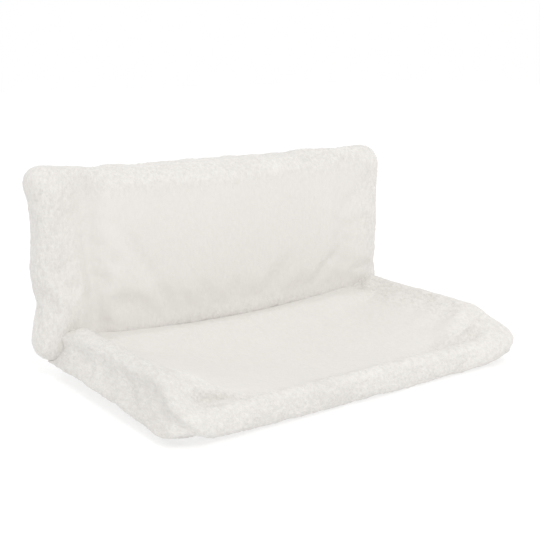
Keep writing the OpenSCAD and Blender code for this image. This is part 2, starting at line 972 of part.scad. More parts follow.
// A point of the seat's border at a place round the ridge: r outward from the bar, then its height
function seat_ring(p, k, t) =
    let (
        n = seat_way(p),
        bar = seat_bar(p),
        front = pow(n[1], 2),
        bar_z = rail_z - bar_fall(bar[1]),
        big = mix(ridge_r, roll_r, front) - t,
        hem = mix(hem_z(bar[1]), roll_foot_z, front) + t,
        flare = seat_bulk(bar[1]) - t,
        rolled = len(roll_angles),
        hollow_z = mix(hem, bar_z - t, hollow_height_share),
        side_wall = [
            [big * hollow_share, hollow_z],
            [flare * shoulder_share, mix(hem, hollow_z, shoulder_height_share)],
            [flare, mix(hem, hollow_z, wall_bulge_share)],
            [flare * wall_foot_share + t / 2, hem],
            [(flare + t) * hem_share, hem]
        ],
        front_wall = concat(
            [for (a = roll_under_angles) [big * cos(a), bar_z + big * sin(a)]],
            [[-roll_r * front_hem_share, hem]]
        ),
        rz = k < rolled
            ? [big * cos(roll_angles[k]), bar_z + big * sin(roll_angles[k])]
            : mix(side_wall[k - rolled], front_wall[k - rolled], front),
        q = bar + n * filled(rz[0], n, t)
    )
    [q[0], -(p[1] > seat_rear_y ? q[1] : seat_rear(q[0], rz[1])), rz[1]];

function seat_grid_point(p, on_border, t) =
    let (
        kept = corner_r - foot_inset,
        q = on_border
            ? seat_bar(p) - seat_way(p) * foot_inset
            : [
                squeezed(p[0], core_x, corner_r, kept),
                squeezed(p[1], core_y, roll_y - core_y, roll_y - core_y - foot_inset)
            ]
    )
    [q[0], -q[1], dish_z(q[0], q[1]) - t];

function seat_path() =
    let (nx = len(seat_xs), ny = len(seat_ys))
    concat(
        [for (j = [0:ny - 1]) [0, j]],
        [for (i = [1:nx - 1]) [i, ny - 1]],
        [for (j = [ny - 2:-1:0]) [nx - 1, j]]
    );

function seat_points(t) =
    let (
        nx = len(seat_xs),
        ny = len(seat_ys),
        path = seat_path(),
        rings = len(roll_angles) + len(roll_under_angles) + 1
    )
    concat(
        [
            for (j = [0:ny - 1])
                for (i = [0:nx - 1])
                    seat_grid_point([seat_xs[i], seat_ys[j]], i == 0 || i == nx - 1 || j == ny - 1, t)
        ],
        [
            for (k = [0:rings - 1])
                for (b = path)
                    seat_ring([seat_xs[b[0]], seat_ys[b[1]]], k, t)
        ]
    );

module seat_plush_cover() {
    nx = len(seat_xs);
    ny = len(seat_ys);
    path = seat_path();
    count = len(path);
    rings = len(roll_angles) + len(roll_under_angles) + 1;
    rows = concat(
        [[for (b = path) b[1] * nx + b[0]]],
        [for (k = [0:rings - 1]) [for (s = [0:count - 1]) nx * ny + k * count + s]]
    );
    faces = concat(
        grid_faces(nx, ny),
        [for (k = [0:rings - 1]) each band_faces(rows[k + 1], rows[k], false)]
    );
    last = count - 1;
    edge = concat(
        [for (i = [0:nx - 1]) i],
        [for (k = [1:rings]) rows[k][last]],
        [for (s = [last - 1:-1:0]) rows[rings][s]],
        [for (k = [rings - 1:-1:1]) rows[k][0]]
    );
    color("white")
        placed()
            cloth(seat_points(0), seat_points(plush_t), faces, edge);
}

// The cloth under the seat: it hangs from the hems down to the flat belly
function belly_z(x, y) =
    let (
        across = clamped((abs(x) - belly_w / 2) / (rail_x - belly_w / 2), 0, 1),
        front = clamped((y - roll_y + belly_margin) / (belly_margin - roll_r), 0, 1),
        rear = clamped((belly_margin - y) / (belly_margin - rear_panel_t), 0, 1),
        lift = 1 - (1 - pow(across, 2)) * (1 - pow(front, 2)) * (1 - pow(rear, 2))
    )
    hem_z(y) * lift;

belly_ys = concat([rear_panel_t + soft_gap, belly_margin], seat_ys);

function belly_point(i, j, t) =
    let (
        p = [seat_xs[i], belly_ys[j]],
        last_x = len(seat_xs) - 1,
        border = i == 0 || i == last_x || j == len(belly_ys) - 1,
        n = seat_way(p),
        front = pow(n[1], 2),
        bulk = seat_bulk(max(p[1], seat_rear_y)),
        out = mix(bulk * hem_share, -roll_r * front_hem_share, front) - soft_gap,
        q = border ? seat_bar(p) + n * filled(out, n, t) : [p[0], min(p[1], core_y + (p[1] - core_y) * hem_share)],
        z = border ? mix(hem_z(q[1]), roll_foot_z, front) : belly_z(q[0], q[1])
    )
    [q[0], -q[1], z + t];

module seat_under_panel() {
    nx = len(seat_xs);
    ny = len(belly_ys);
    edge = concat(
        [for (i = [0:nx - 1]) i],
        [for (j = [1:ny - 1]) j * nx + nx - 1],
        [for (i = [nx - 2:-1:0]) (ny - 1) * nx + i],
        [for (j = [ny - 2:-1:1]) j * nx]
    );
    color("gray")
        placed()
            cloth(
                [for (j = [0:ny - 1]) for (i = [0:nx - 1]) belly_point(i, j, under_t)],
                [for (j = [0:ny - 1]) for (i = [0:nx - 1]) belly_point(i, j, 0)],
                grid_faces(nx, ny),
                edge
            );
}

// One half of the zip: a row of teeth and the tape that is sewn to the rear panel
module zip_tape(side) {
    teeth_z = teeth_gap / 2;
    color("whitesmoke")
        placed()
            translate([-zip_l / 2, -zip_y, zip_z])
                rotate([side < 0 ? 180 : 0, 0, 0]) {
                    translate([0, -teeth_t / 2, teeth_z])
                        cube([zip_l, teeth_t, teeth_h]);
                    translate([0, -tape_t / 2, teeth_z])
                        cube([zip_l, tape_t, zip_gap / 2 - teeth_z]);
                }
}

module upper_zip_tape() {
    zip_tape(1);
}

module lower_zip_tape() {
    zip_tape(-1);
}

// The slider runs along the teeth: two plates joined by a post between the rows, and ears for the tab
module zip_slider() {
    plate_rear = slider_rear_y - slider_plate;
    flange_reach = zip_y - tape_t / 2 - slider_play;
    ear_l = tab_knuckle_r * 2;
    color("silver")
        placed()
            translate([slider_x, 0, zip_z]) {
                for (y = [plate_rear, slider_front_y])
                    translate([-slider_l / 2, -y - slider_plate, -slider_w / 2])
                        cube([slider_l, slider_plate, slider_w]);
                translate([slider_l / 2 - slider_post_l, -slider_front_y - slider_plate, -slider_post_w / 2])
                    cube([slider_post_l, slider_front_y + slider_plate - plate_rear, slider_post_w]);
                for (side = [-1, 1])
                    translate([-slider_l / 2, 0, side * (slider_w - slider_flange) / 2 - slider_flange / 2])
                        translate([0, -flange_reach, 0])
                            cube([slider_l, flange_reach - plate_rear, slider_flange]);
                for (side = [-1, 1])
                    translate([0, 0, side * ((tab_w + tab_ear) / 2 + slider_play)])
                        tab_ear_plate(ear_l, plate_rear);
                translate([0, -tab_y, -tab_w / 2 - slider_play - tab_ear])
                    cylinder(r = tab_pin_r, h = tab_w + (slider_play + tab_ear) * 2);
            }
}

// One ear that carries the tab's pin on the slider's rear plate
module tab_ear_plate(ear_l, plate_rear) {
    translate([-ear_l / 2, -plate_rear - slider_plate / 2, -tab_ear / 2])
        cube([ear_l, plate_rear + slider_plate / 2 - tab_y, tab_ear]);
    translate([0, -tab_y, -tab_ear / 2])
        cylinder(r = tab_knuckle_r, h = tab_ear);
}

module zip_pull_tab() {
    color("silver")
        placed()
            translate([slider_x, -tab_y, zip_z])
                difference() {
                    union() {
                        translate([0, 0, -tab_w / 2])
                            cylinder(r = tab_knuckle_r, h = tab_w);
                        translate([-tab_l, -tab_t / 2, -tab_w / 2])
                            cube([tab_l, tab_t, tab_w]);
                    }
                    translate([0, 0, -tab_w / 2 - cut])
                        cylinder(r = tab_pin_r + running_play, h = tab_w + cut * 2);
                }
}

back_frame();
middle_cross_bar();
lower_cross_bar();
left_corner_connector();
right_corner_connector();
left_seat_rail();
right_seat_rail();
front_bar();
front_foam_sleeve();
frame_screws();
left_hanging_arm();
right_hanging_arm();
arm_bolts();
arm_nuts();
left_arm_pad();
right_arm_pad();
left_clamp_screw();
right_clamp_screw();
left_hook();
right_hook();
left_hook_cap();
right_hook_cap();
left_clamp_washer();
right_clamp_washer();
left_wing_nut();
right_wing_nut();
back_foam_pad();
back_plush_cover();
back_rear_panel();
slit_grommets();
seat_plush_cover();
seat_under_panel();
upper_zip_tape();
lower_zip_tape();
zip_slider();
zip_pull_tab();
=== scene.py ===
"""The looks of the cat radiator bed: plush, cloth panels, zip, hooks, materials and the studio."""

import json
from functools import cached_property
from math import asin, atan2, cos, exp, hypot, pi, radians, sin, tan

import bmesh
import bpy
import numpy as np
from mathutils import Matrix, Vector, noise


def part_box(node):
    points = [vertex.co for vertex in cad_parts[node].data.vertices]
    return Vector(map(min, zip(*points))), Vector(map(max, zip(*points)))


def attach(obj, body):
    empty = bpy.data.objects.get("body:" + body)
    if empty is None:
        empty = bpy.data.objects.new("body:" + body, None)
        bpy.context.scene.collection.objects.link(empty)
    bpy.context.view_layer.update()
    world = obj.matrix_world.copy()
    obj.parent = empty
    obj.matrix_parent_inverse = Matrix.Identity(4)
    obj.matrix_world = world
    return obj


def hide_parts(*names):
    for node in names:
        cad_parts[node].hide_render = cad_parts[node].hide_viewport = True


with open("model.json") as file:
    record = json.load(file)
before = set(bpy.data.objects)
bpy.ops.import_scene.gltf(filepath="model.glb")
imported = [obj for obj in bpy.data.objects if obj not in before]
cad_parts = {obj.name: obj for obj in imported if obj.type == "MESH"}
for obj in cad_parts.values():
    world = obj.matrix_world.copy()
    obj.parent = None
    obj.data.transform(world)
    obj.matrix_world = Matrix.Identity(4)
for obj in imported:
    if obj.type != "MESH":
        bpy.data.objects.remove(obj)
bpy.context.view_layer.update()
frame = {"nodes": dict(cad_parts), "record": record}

# ---- sizes, in millimetres
MM = 0.001
REAR_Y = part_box("back_rear_panel")[1][1]  # the cushion's rear face, in metres
PHOTO_PX, FOCAL_PX = 540.0, 974.0  # the photograph's side and the focal length fitted to it

# The back cushion
BED_W = 460.0
BACK_T = 46.0
BACK_H = 197.0
FOOT_Z = 20.0
MID_Z = FOOT_Z + BACK_H / 2
EDGE = 26.0  # how far in the front edge's rounding reaches
EDGE_POWER = 2.4  # 2 would be a quarter of an ellipse
REAR_EDGE = 11.2
CORE_INSET = EDGE * 1.3  # to the rectangle that the corners turn about
CORE_X = BED_W / 2 - CORE_INSET
CORE_Z = BACK_H / 2 - CORE_INSET
FRONT_BORDER = 12.0  # where the front net goes over into the edge's rows
EDGE_ROWS = 14
PLUSH_T = 4.0
FLAT_PILE = 0.35  # share of the pile's relief where the cloth lies flat

# The seat on its rails, bar and roll
RAIL_X = 197.0
RAIL_Z = 46.0
RIDGE_R = 11.5
ROLL_Y = 265.0
ROLL_R = 14.0
ROLL_Z = ROLL_R + 0.4
ROLL_FOOT_Z = ROLL_Z - ROLL_R
BEND_RUN = 47.0
BEND_Y = ROLL_Y - BEND_RUN
BEND_R = 24.0
BEND_RISE = BEND_R - (RAIL_Z - ROLL_Z)
BEND_ANGLE = asin(BEND_R / hypot(BEND_RUN, BEND_RISE)) - atan2(BEND_RISE, BEND_RUN)
BEND_END_Y = BEND_Y + BEND_R * sin(BEND_ANGLE)
CORNER_R = 26.0
CORNER_FILL = 14.0
FOOT_INSET = 18.0  # from the bar to where the hammock begins
SEAT_REAR_Y = 46.8
SEWN_Y = 84.0  # behind this, the seat is drawn along the back cushion's face
SEAT_CORE_X = RAIL_X - CORNER_R
SEAT_CORE_Y = ROLL_Y - CORNER_R * cos(BEND_ANGLE)
SEAT_CORNER_Y = ROLL_Y - SEAT_CORE_Y
SEAT_ROWS = 21
CREST_ROWS = range(4, 10)  # over the ridges and the roll
HEM_ROWS = range(SEAT_ROWS - 3, SEAT_ROWS)
WALL_HEM_Z = 11.5
HEM_SHARE = 0.4  # how far under its side wall the cloth is turned in
HAMMOCK_Z = 12.0
BELLY_W = 300.0
WEB_X, WEB_Y = 183.0, 208.0  # a place on the line where a corner's taut web starts
WEB_ACROSS, WEB_AHEAD = 45.0, 43.0  # the way out from that line

# The rear panel, with its quilting, slits and zip
REAR_PANEL_T = 8.0
PANEL_INSET = REAR_EDGE + 0.4
EDGE_SEAM = 9.0  # from the panel's edge
HOLE_SEAM = 6.5  # from a slit or the zip's opening
QUILT_Z = (104.0, 136.0)
THREAD_Y = -0.9
ZIP_Z = 62.0
ZIP_Y = 5.2
ZIP_L = 404.0
ZIP_GAP = 16.0

# The arms, hooks and clamps
ARM_X = 150.0
ARM_Z = 170.0
STRIP_W = 25.0
STRIP_T = 3.0
SLIDE_GAP = 0.2
FOLD_R = 3.2  # inside the hooks' fold
GRIP_DEPTH = 63.0
CLAMP_Y = 53.0
CLAMP_R = 3.0

SLIT = (STRIP_W / 2 + 2.9, STRIP_T / 2 + 2.9)  # half sizes of a slit's opening
SLIT_Z = ARM_Z + STRIP_T / 2
HOLES = [  # lowest and highest x and z of each opening
    (side * ARM_X - SLIT[0], side * ARM_X + SLIT[0], SLIT_Z - SLIT[1], SLIT_Z + SLIT[1])
    for side in (-1, 1)
]
HOLES.append((-ZIP_L / 2, ZIP_L / 2, ZIP_Z - ZIP_GAP / 2, ZIP_Z + ZIP_GAP / 2))

PITCH = 6.0  # spacing of the nets that the cloth solver works on
CORNER_STEPS = 4
FAN = np.tan(np.radians(45.0 * np.arange(1, CORNER_STEPS + 1) / CORNER_STEPS))  # round a corner


# ---- camera, light and floor
def linked(name, data):
    """A new object in the scene."""
    made = bpy.data.objects.new(name, data)
    bpy.context.scene.collection.objects.link(made)
    return made


def mesh_object(name, points, faces):
    """A new object with a mesh, from points in metres."""
    data = bpy.data.meshes.new(name)
    data.from_pydata(np.asarray(points).tolist(), [], [list(map(int, f)) for f in faces])
    return linked(name, data)


def add_camera():
    """The photograph's view: 36 degrees round to the left and 13 down."""
    yaw, pitch = radians(36.0), radians(13.06)
    data = bpy.data.cameras.new("camera")
    data.sensor_width = 36.0
    data.lens = data.sensor_width * FOCAL_PX / PHOTO_PX
    data.clip_start = 0.05
    camera = linked("camera", data)
    camera.location = (-0.601, REAR_Y - 0.945, 0.339)
    camera.rotation_euler = (pi / 2 - pitch, 0.0, -yaw)
    bpy.context.scene.camera = camera


def add_lamp(name, place, aim, size, power):
    """A round lamp that shines at a place, in metres and watts."""
    data = bpy.data.lights.new(name, "AREA")
    data.shape = "DISK"
    data.size = size
    data.energy = power
    lamp = linked(name, data)
    lamp.location = place
    lamp.rotation_euler = (Vector(aim) - Vector(place)).to_track_quat("-Z", "Y").to_euler()


def add_studio():
    """White light from all round, three lamps and a pale floor that glows a little."""
    scene = bpy.context.scene
    scene.view_settings.view_transform = "Standard"
    scene.view_settings.look = "None"
    world = bpy.data.worlds.new("studio")
    world.use_nodes = True
    sky = world.node_tree.nodes["Background"]
    sky.inputs["Color"].default_value = (1.0, 1.0, 1.0, 1.0)
    sky.inputs["Strength"].default_value = 1.0
    scene.world = world
    aim = (0.0, 0.0, 0.08)
    add_lamp("key", (-0.4, -1.4, 1.75), aim, 0.6, 10.0)
    add_lamp("fill", (1.6, -0.7, 0.9), aim, 1.2, 0.5)
    add_lamp("rear", (0.5, 1.6, 1.2), aim, 1.0, 3.0)
    corners = [(-6, -6, 0), (6, -6, 0), (6, 6, 0), (-6, 6, 0)]
    floor = mesh_object("floor", corners, [(0, 1, 2, 3)])
    pale = Material("floor", Base_Color=(0.4, 0.4, 0.4, 1), Roughness=0.9)
    pale.set(Emission_Color=(1, 1, 1, 1), Emission_Strength=0.6)
    floor.data.materials.append(pale.material)
    floor.location.z = -0.001


# ---- materials
class Material:
    """A material with nodes."""

    def __init__(self, name, **constants):
        self.material = bpy.data.materials.new(name)
        self.material.use_nodes = True
        self.tree = self.material.node_tree
        self.shader = self.tree.nodes["Principled BSDF"]
        self.set(**constants)

    def set(self, **constants):
        """Sets the shader's inputs, with _ for each space in their names."""
        for key, value in constants.items():
            self.shader.inputs[key.replace("_", " ")].default_value = value

    @cached_property
    def coords(self):
        """The object's own coordinates."""
        return self.tree.nodes.new("ShaderNodeTexCoord").outputs["Object"]

    def add(self, kind, inputs, **settings):
        """A node. Each input, by its name or number, is a value or another node's output."""
        node = self.tree.nodes.new("ShaderNode" + kind)
        for key, value in settings.items():
            setattr(node, key, value)
        for key, value in inputs.items():
            if isinstance(value, bpy.types.NodeSocket):
                self.tree.links.new(value, node.inputs[key])
            else:
                node.inputs[key].default_value = value
        return node

    def stretched(self, x, y, z):
        return self.add("Mapping", {0: self.coords, 3: (x, y, z)}).outputs[0]

    def noise(self, scale, detail=2.0, rough=0.5, where=None):
        inputs = {"Scale": scale, "Detail": detail, "Roughness": rough}
        return self.add("TexNoise", {"Vector": where or self.coords, **inputs}).outputs["Fac"]

    def maths(self, operation, *values):
        return self.add("Math", dict(enumerate(values)), operation=operation).outputs[0]

    def sums(self, a, b, weight):
        """a + b * weight"""
        return self.maths("MULTIPLY_ADD", b, weight, a)

    def colour(self, value, *stops):
        """Colours the surface by a value, from stops with a place and a colour each."""
        node = self.add("ValToRGB", {"Fac": value})
        for element, (at, colour) in zip(node.color_ramp.elements, stops):
            element.position = at
            element.color = (*colour, 1.0)
        self.tree.links.new(node.outputs["Color"], self.shader.inputs["Base Color"])

    def relief(self, height, distance, strength):
        """Small relief in the surface, with the distance in metres."""
        node = self.add("Bump", {"Height": height, "Distance": distance, "Strength": strength})
        self.tree.links.new(node.outputs["Normal"], self.shader.inputs["Normal"])

    def roughness(self, value, low, high):
        node = self.add("MapRange", {"Value": value, 3: low, 4: high})
        self.tree.links.new(node.outputs[0], self.shader.inputs["Roughness"])


def plush(name, light, dark, nap):
    """Short pile with a soft sheen, and painted shade in the hollows between its tufts. The mesh
    attribute tufted tells how much of it shows.
    """
    n = Material(name, Roughness=0.95, Specular_IOR_Level=0.15)
    n.set(Sheen_Weight=0.2, Sheen_Roughness=0.45)
    combed = n.stretched(*nap)
    fibres = n.noise(900.0, 3.0, 0.65, combed)
    tufts = n.noise(260.0, 2.0, 0.6, combed)
    clouds = n.noise(14.0, 2.0, 0.5)
    mixed = n.sums(n.sums(tufts, fibres, 0.8), clouds, 0.5)
    tufted = n.add("Attribute", {}, attribute_name="tufted").outputs["Fac"]
    amount = n.add("MapRange", {"Value": tufted, 1: FLAT_PILE, 2: 1.0, 3: 0.1, 4: 0.42}).outputs[0]
    # Darker where the tufts' noise is low: painted shade in the pile's hollows, mixed with random
    # tone
    depth = n.maths("MULTIPLY_ADD", n.maths("ADD", mixed, -1.15), amount, 0.5)
    n.colour(depth, (0.4, dark), (0.6, light))
    n.relief(n.maths("MULTIPLY", n.sums(tufts, fibres, 0.6), amount), 0.003, 0.8)
    return n.material


def woven(name, light, dark, threads):
    """A plain woven cloth: crossing sets of threads with small colour differences."""
    n = Material(name, Roughness=0.9, Specular_IOR_Level=0.2, Sheen_Weight=0.15)
    waves = {"Vector": n.coords, "Scale": threads, "Distortion": 0.6}
    across, along, deep = (
        n.add("TexWave", waves, bands_direction=way).outputs["Fac"] for way in "XZY"
    )
    cloth = n.sums(n.sums(across, along, 1.0), deep, 1.0)
    fuzz = n.noise(420.0, 3.0, 0.6)
    tone = n.sums(n.sums(cloth, fuzz, 1.2), n.noise(18.0), 1.0)
    n.colour(n.maths("MULTIPLY", tone, 0.28), (0.25, dark), (0.85, light))
    n.relief(n.sums(cloth, fuzz, 0.8), 0.0005, 0.6)
    return n.material


def coated(name, colour, worn, roughness=0.42):
    """Powder-coated steel: a fine orange-peel bump and slightly duller patches."""
    n = Material(name)
    n.colour(n.noise(35.0, 4.0), (0.35, worn), (0.6, colour))
    n.roughness(n.noise(60.0, 3.0), roughness - 0.06, roughness + 0.1)
    n.relief(n.noise(1400.0, 1.0), 0.00012, 0.35)
    return n.material


def plated(name, colour, dull, roughness=0.32):
    """Zinc-plated steel with faint drawing marks."""
    n = Material(name, Metallic=1.0)
    n.colour(n.noise(80.0, 4.0), (0.3, dull), (0.7, colour))
    marks = n.noise(300.0, 3.0, 0.6, n.stretched(1.0, 1.0, 7.0))
    n.roughness(marks, roughness - 0.08, roughness + 0.12)
    n.relief(marks, 0.00008, 0.4)
    return n.material


def moulded(name, colour, light, roughness):
    """Moulded plastic or rubber with a fine grain."""
    n = Material(name, Roughness=roughness)
    n.colour(n.noise(45.0, 3.0), (0.3, colour), (0.75, light))
    n.relief(n.noise(1800.0, 2.0), 0.0001, 0.5)
    return n.material


MATERIALS = {}


def make_materials():
    """Fills MATERIALS, by the names of the material slots and a few more."""
    # The darker pile tone is painted shade in the hollows between tufts, with some random tone
    pile_tip, pile_hollow_shade = (0.785, 0.765, 0.735), (0.68, 0.66, 0.63)
    for kind, name, *values in (
        (plush, "back_plush", pile_tip, pile_hollow_shade, (1.0, 1.0, 0.5)),
        (plush, "seat_plush", pile_tip, pile_hollow_shade, (1.0, 0.5, 1.0)),
        (woven, "backing", (0.86, 0.85, 0.82), (0.70, 0.69, 0.66), 240.0),
        (woven, "zip_cloth", (0.88, 0.88, 0.86), (0.72, 0.72, 0.70), 420.0),
        (moulded, "foam", (0.80, 0.79, 0.74), (0.86, 0.85, 0.80), 0.9),
        (moulded, "thread", (0.78, 0.77, 0.74), (0.88, 0.87, 0.85), 0.75),
        (coated, "tube_steel", (0.74, 0.74, 0.73), (0.66, 0.66, 0.65)),
        (coated, "strip_steel", (0.80, 0.80, 0.79), (0.70, 0.70, 0.69)),
        (plated, "zinc", (0.76, 0.77, 0.78), (0.60, 0.61, 0.63)),
        (moulded, "nylon", (0.78, 0.78, 0.76), (0.84, 0.84, 0.82), 0.5),
        (moulded, "soft_cap", (0.035, 0.035, 0.037), (0.06, 0.06, 0.062), 0.7),
        (plated, "zip_metal", (0.80, 0.80, 0.80), (0.62, 0.62, 0.62), 0.28),
        (moulded, "zip_nylon", (0.80, 0.80, 0.78), (0.86, 0.86, 0.84), 0.4),
    ):
        MATERIALS[name] = kind(name, *values)


# ---- meshes
def finish_piece(piece, body="root", node=None):
    """Puts a piece on its body and hides the node that it stands for."""
    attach(piece, body)
    if node:
        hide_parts(node)


def add_piece(name, points, faces, material, slot=None, node=None, smooth=True):
    """A piece from points in millimetres, counted from the middle of the cushion's rear face."""
    points = np.asarray(points, dtype=float) * MM
    points[:, 1] += REAR_Y
    piece = mesh_object(name, points, faces)
    data = piece.data
    data.polygons.foreach_set("use_smooth", [smooth] * len(data.polygons))
    data.materials.append(MATERIALS[material])
    mesh = bmesh.new()
    mesh.from_mesh(data)
    bmesh.ops.recalc_face_normals(mesh, faces=mesh.faces)
    mesh.to_mesh(data)
    mesh.free()
    finish_piece(piece, node=node)
    return piece


def unit(vectors):
    """The vectors' directions."""
    return vectors / np.maximum(np.linalg.norm(vectors, axis=1), 1e-9)[:, None]


def normals_of(points, faces):
    """The unit normal at each point of a net."""
    quads = np.array([f if len(f) == 4 else [*f, f[2]] for f in faces])
    a, b, c, d = (points[quads[:, k]] for k in range(4))
    face_normals = np.cross(c - a, d - b)
    total = np.zeros_like(points)
    for k in range(4):
        np.add.at(total, quads[:, k], face_normals)
    return unit(total)


def numbered(nx, ny):
    """The point numbers of a grid, row by row."""
    return np.arange(nx * ny).reshape(ny, nx)


def quads(number):
    """The quads of a grid of point numbers."""
    corners = number[:-1, :-1], number[:-1, 1:], number[1:, 1:], number[1:, :-1]
    return np.stack(corners, axis=-1).reshape(-1, 4).tolist()


def with_rows(net, faces, border, rings, closed):
    """A net continued over its border by further rows of points, and each row's point numbers."""
    rows = [border]
    for ring in rings:
        start = len(net) + (len(rows) - 1) * len(border)
        rows.append(list(range(start, start + len(ring))))
    places = list(range(len(border)))
    steps = list(zip(places, places[1:])) + [(places[-1], 0)] * closed
    for a, b in zip(rows, rows[1:]):
        faces = faces + [(a[j], a[i], b[i], b[j]) for i, j in steps]
    return np.concatenate([net, *rings]), faces, rows


def border_edges(faces):
    """The edges that only one face has, in that face's direction."""
    edges = dict.fromkeys(edge for f in faces for edge in zip(f, (*f[1:], f[0])))
    return [(a, b) for a, b in edges if (b, a) not in edges]


def border_loop(faces):
    """The border of a net with one border, in order."""
    following = dict(border_edges(faces))
    start = min(following)
    loop = [start]
    while following[loop[-1]] != start:
        loop.append(following[loop[-1]])
    return loop


def two_skins(faces, count):
    """A net's faces, the same turned round on a second net, and the rim between their borders."""
    turned = [tuple(count + i for i in reversed(f)) for f in faces]
    return list(faces) + turned + [(b, a, count + a, count + b) for a, b in border_edges(faces)]


def only_used(points, faces):
    """The points that faces have, and the faces with their new numbers."""
    used = sorted({i for f in faces for i in f})
    number = {old: new for new, old in enumerate(used)}
    return points[used], [tuple(number[i] for i in f) for f in faces]


def tube_faces(rings, sides, closed=False):
    """Quads between rings of points. A closed tube's last ring joins its first."""
    return [
        (k * sides + s, k * sides + t, (k + 1) % rings * sides + t, (k + 1) % rings * sides + s)
        for k in range(rings if closed else rings - 1)
        for s, t in ((s, (s + 1) % sides) for s in range(sides))
    ]


def tube_ends(rings, sides):
    """The faces that close a tube's two ends."""
    last = (rings - 1) * sides
    return [tuple(reversed(range(sides))), tuple(range(last, last + sides))]


def ripples(x, y, z):
    """Smooth noise at places, whose coordinates are arrays or numbers."""
    return np.array([noise.noise(Vector(place)) for place in zip(*np.broadcast_arrays(x, y, z))])


def worked(net):
    """The points and faces that a net's modifiers make. The net is removed."""
    made = net.evaluated_get(bpy.context.evaluated_depsgraph_get()).to_mesh()
    points = np.empty(len(made.vertices) * 3)
    made.vertices.foreach_get("co", points)
    faces = [tuple(f.vertices) for f in made.polygons]
    net.to_mesh_clear()
    bpy.data.meshes.remove(net.data)
    return points.reshape(-1, 3), faces


def subdivided(points, faces, levels):
    """Catmull-Clark subdivision. The given points come first in the result."""
    net = mesh_object("net", points, faces)
    modifier = net.modifiers.new("subdivision", "SUBSURF")
    modifier.levels = levels
    modifier.boundary_smooth = "PRESERVE_CORNERS"
    return worked(net)


def spline_rows(knots):
    """Points along a Catmull-Rom curve, whose knots are rows of values."""
    knots = np.asarray(knots, dtype=float)
    ends = np.concatenate([[2 * knots[0] - knots[1]], knots, [2 * knots[-1] - knots[-2]]])
    steps = 12
    curve = []
    for k in range(len(knots) - 1):
        p0, p1, p2, p3 = ends[k : k + 4]
        for s in np.arange(steps) / steps:
            square = 2 * p0 - 5 * p1 + 4 * p2 - p3
            cube = 3 * p1 - p0 - 3 * p2 + p3
            curve.append(0.5 * (2 * p1 + (p2 - p0) * s + square * s**2 + cube * s**3))
    return np.array(curve + [knots[-1]])


def even_rows(curve, count):
    """Evenly spaced points along each curve. curve is knots by places by 2."""
    length = np.linalg.norm(np.diff(curve, axis=0), axis=2)
    along = np.concatenate([np.zeros((1, curve.shape[1])), np.cumsum(length, axis=0)])
    rows = np.empty((count, curve.shape[1], curve.shape[2]))
    for p in range(curve.shape[1]):
        want = np.linspace(0, along[-1, p], count)
        for c in range(curve.shape[2]):
            rows[:, p, c] = np.interp(want, along[:, p], curve[:, p, c])
    return rows


def settle(points, faces, held, pressure, gravity):
    """Blender's cloth solver shapes a net held at weights of 1. No point moves beyond a cap."""
    frames, growth, cap = 20, 0.012, 4.0
    cloth = mesh_object("net", points * MM, faces)
    group = cloth.vertex_groups.new(name="held")
    weights = np.round(held, 1)
    for level in np.unique(weights):
        group.add(np.nonzero(weights == level)[0].tolist(), float(level), "REPLACE")
    modifier = cloth.modifiers.new("cloth", "CLOTH")
    modifier.point_cache.frame_start = 1
    modifier.point_cache.frame_end = frames
    s = modifier.settings
    s.quality = 6
    s.mass = 0.25
    s.air_damping = 2.0
    s.tension_stiffness = s.compression_stiffness = 25.0
    s.shear_stiffness = 12.0
    s.bending_stiffness = 6.0
    s.tension_damping = s.compression_damping = 10.0
    s.vertex_group_mass = "held"
    s.pin_stiffness = 20.0
    s.use_pressure = pressure != 0
    s.uniform_pressure_force = pressure
    s.shrink_min = s.shrink_max = -growth
    s.effector_weights.gravity = gravity
    for frame_number in range(1, frames + 1):
        bpy.context.scene.frame_set(frame_number)
    step = worked(cloth)[0] / MM - points
    bpy.context.scene.frame_set(1)
    size = np.linalg.norm(step, axis=1)[:, None]
    print(f"cloth moved {size.max():.2f} mm at most, {size.mean():.2f} mm on average")
    return points + step * np.minimum(1.0, cap / np.maximum(size, 1e-9))


def pile(points, normals, rough, nap):
    """Moves a fine net's points out into clumps of short pile. rough is 0 to 1 at each point."""
    clump_size, fine_size, broad_size = 5.2, 2.1, 17.0
    moved = points.copy()
    for i, (p, n, r) in enumerate(zip(points, normals, rough)):
        q = Vector((p[0] * nap[0], p[1] * nap[1], p[2] * nap[2]))
        near = noise.voronoi(q / clump_size, distance_metric="DISTANCE")[0]
        clump = (near[1] - near[0]) * 0.9 - 0.3
        fine = noise.noise(q / fine_size)
        broad = noise.noise(q / broad_size)
        moved[i] += n * (clump * 0.8 + fine * 0.6 + broad * 0.7) * r
    return moved


def plush_shell(name, label, points, faces, rough_at, nap):
    """A plush cloth: a fine outer face with pile, joined at its border to a coarse lining."""
    fine, fine_faces = subdivided(points, faces, 2)
    rough = rough_at(fine)
    fine = pile(fine, normals_of(fine, fine_faces), rough, nap)
    lining = points - normals_of(points, faces) * (PLUSH_T - 0.8)
    count = len(fine)
    coarse = border_loop(faces)
    loop = border_loop(fine_faces)
    step = len(loop) // len(coarse)
    start = loop.index(coarse[0])
    loop = loop[start:] + loop[:start]
    rim = []
    for k, a in enumerate(coarse):
        b = coarse[(k + 1) % len(coarse)]
        way = [loop[(k * step + s) % len(loop)] for s in range(step + 1)]
        assert way[0] == a and way[-1] == b
        half = step // 2
        rim += [(way[s + 1], way[s], count + a) for s in range(half)]
        rim.append((way[half], count + a, count + b))
        rim += [(way[s + 1], way[s], count + b) for s in range(half, step)]
    back = [tuple(count + i for i in reversed(f)) for f in faces]
    points = np.concatenate([fine, lining])
    faces = fine_faces + back + rim
    piece = add_piece(name, points, faces, f"{label}_plush", "plush", f"{label}_plush_cover")
    tufted = piece.data.attributes.new("tufted", "FLOAT", "POINT")
    tufted.data.foreach_set("value", np.concatenate([rough, np.full(len(lining), FLAT_PILE)]))
    return piece


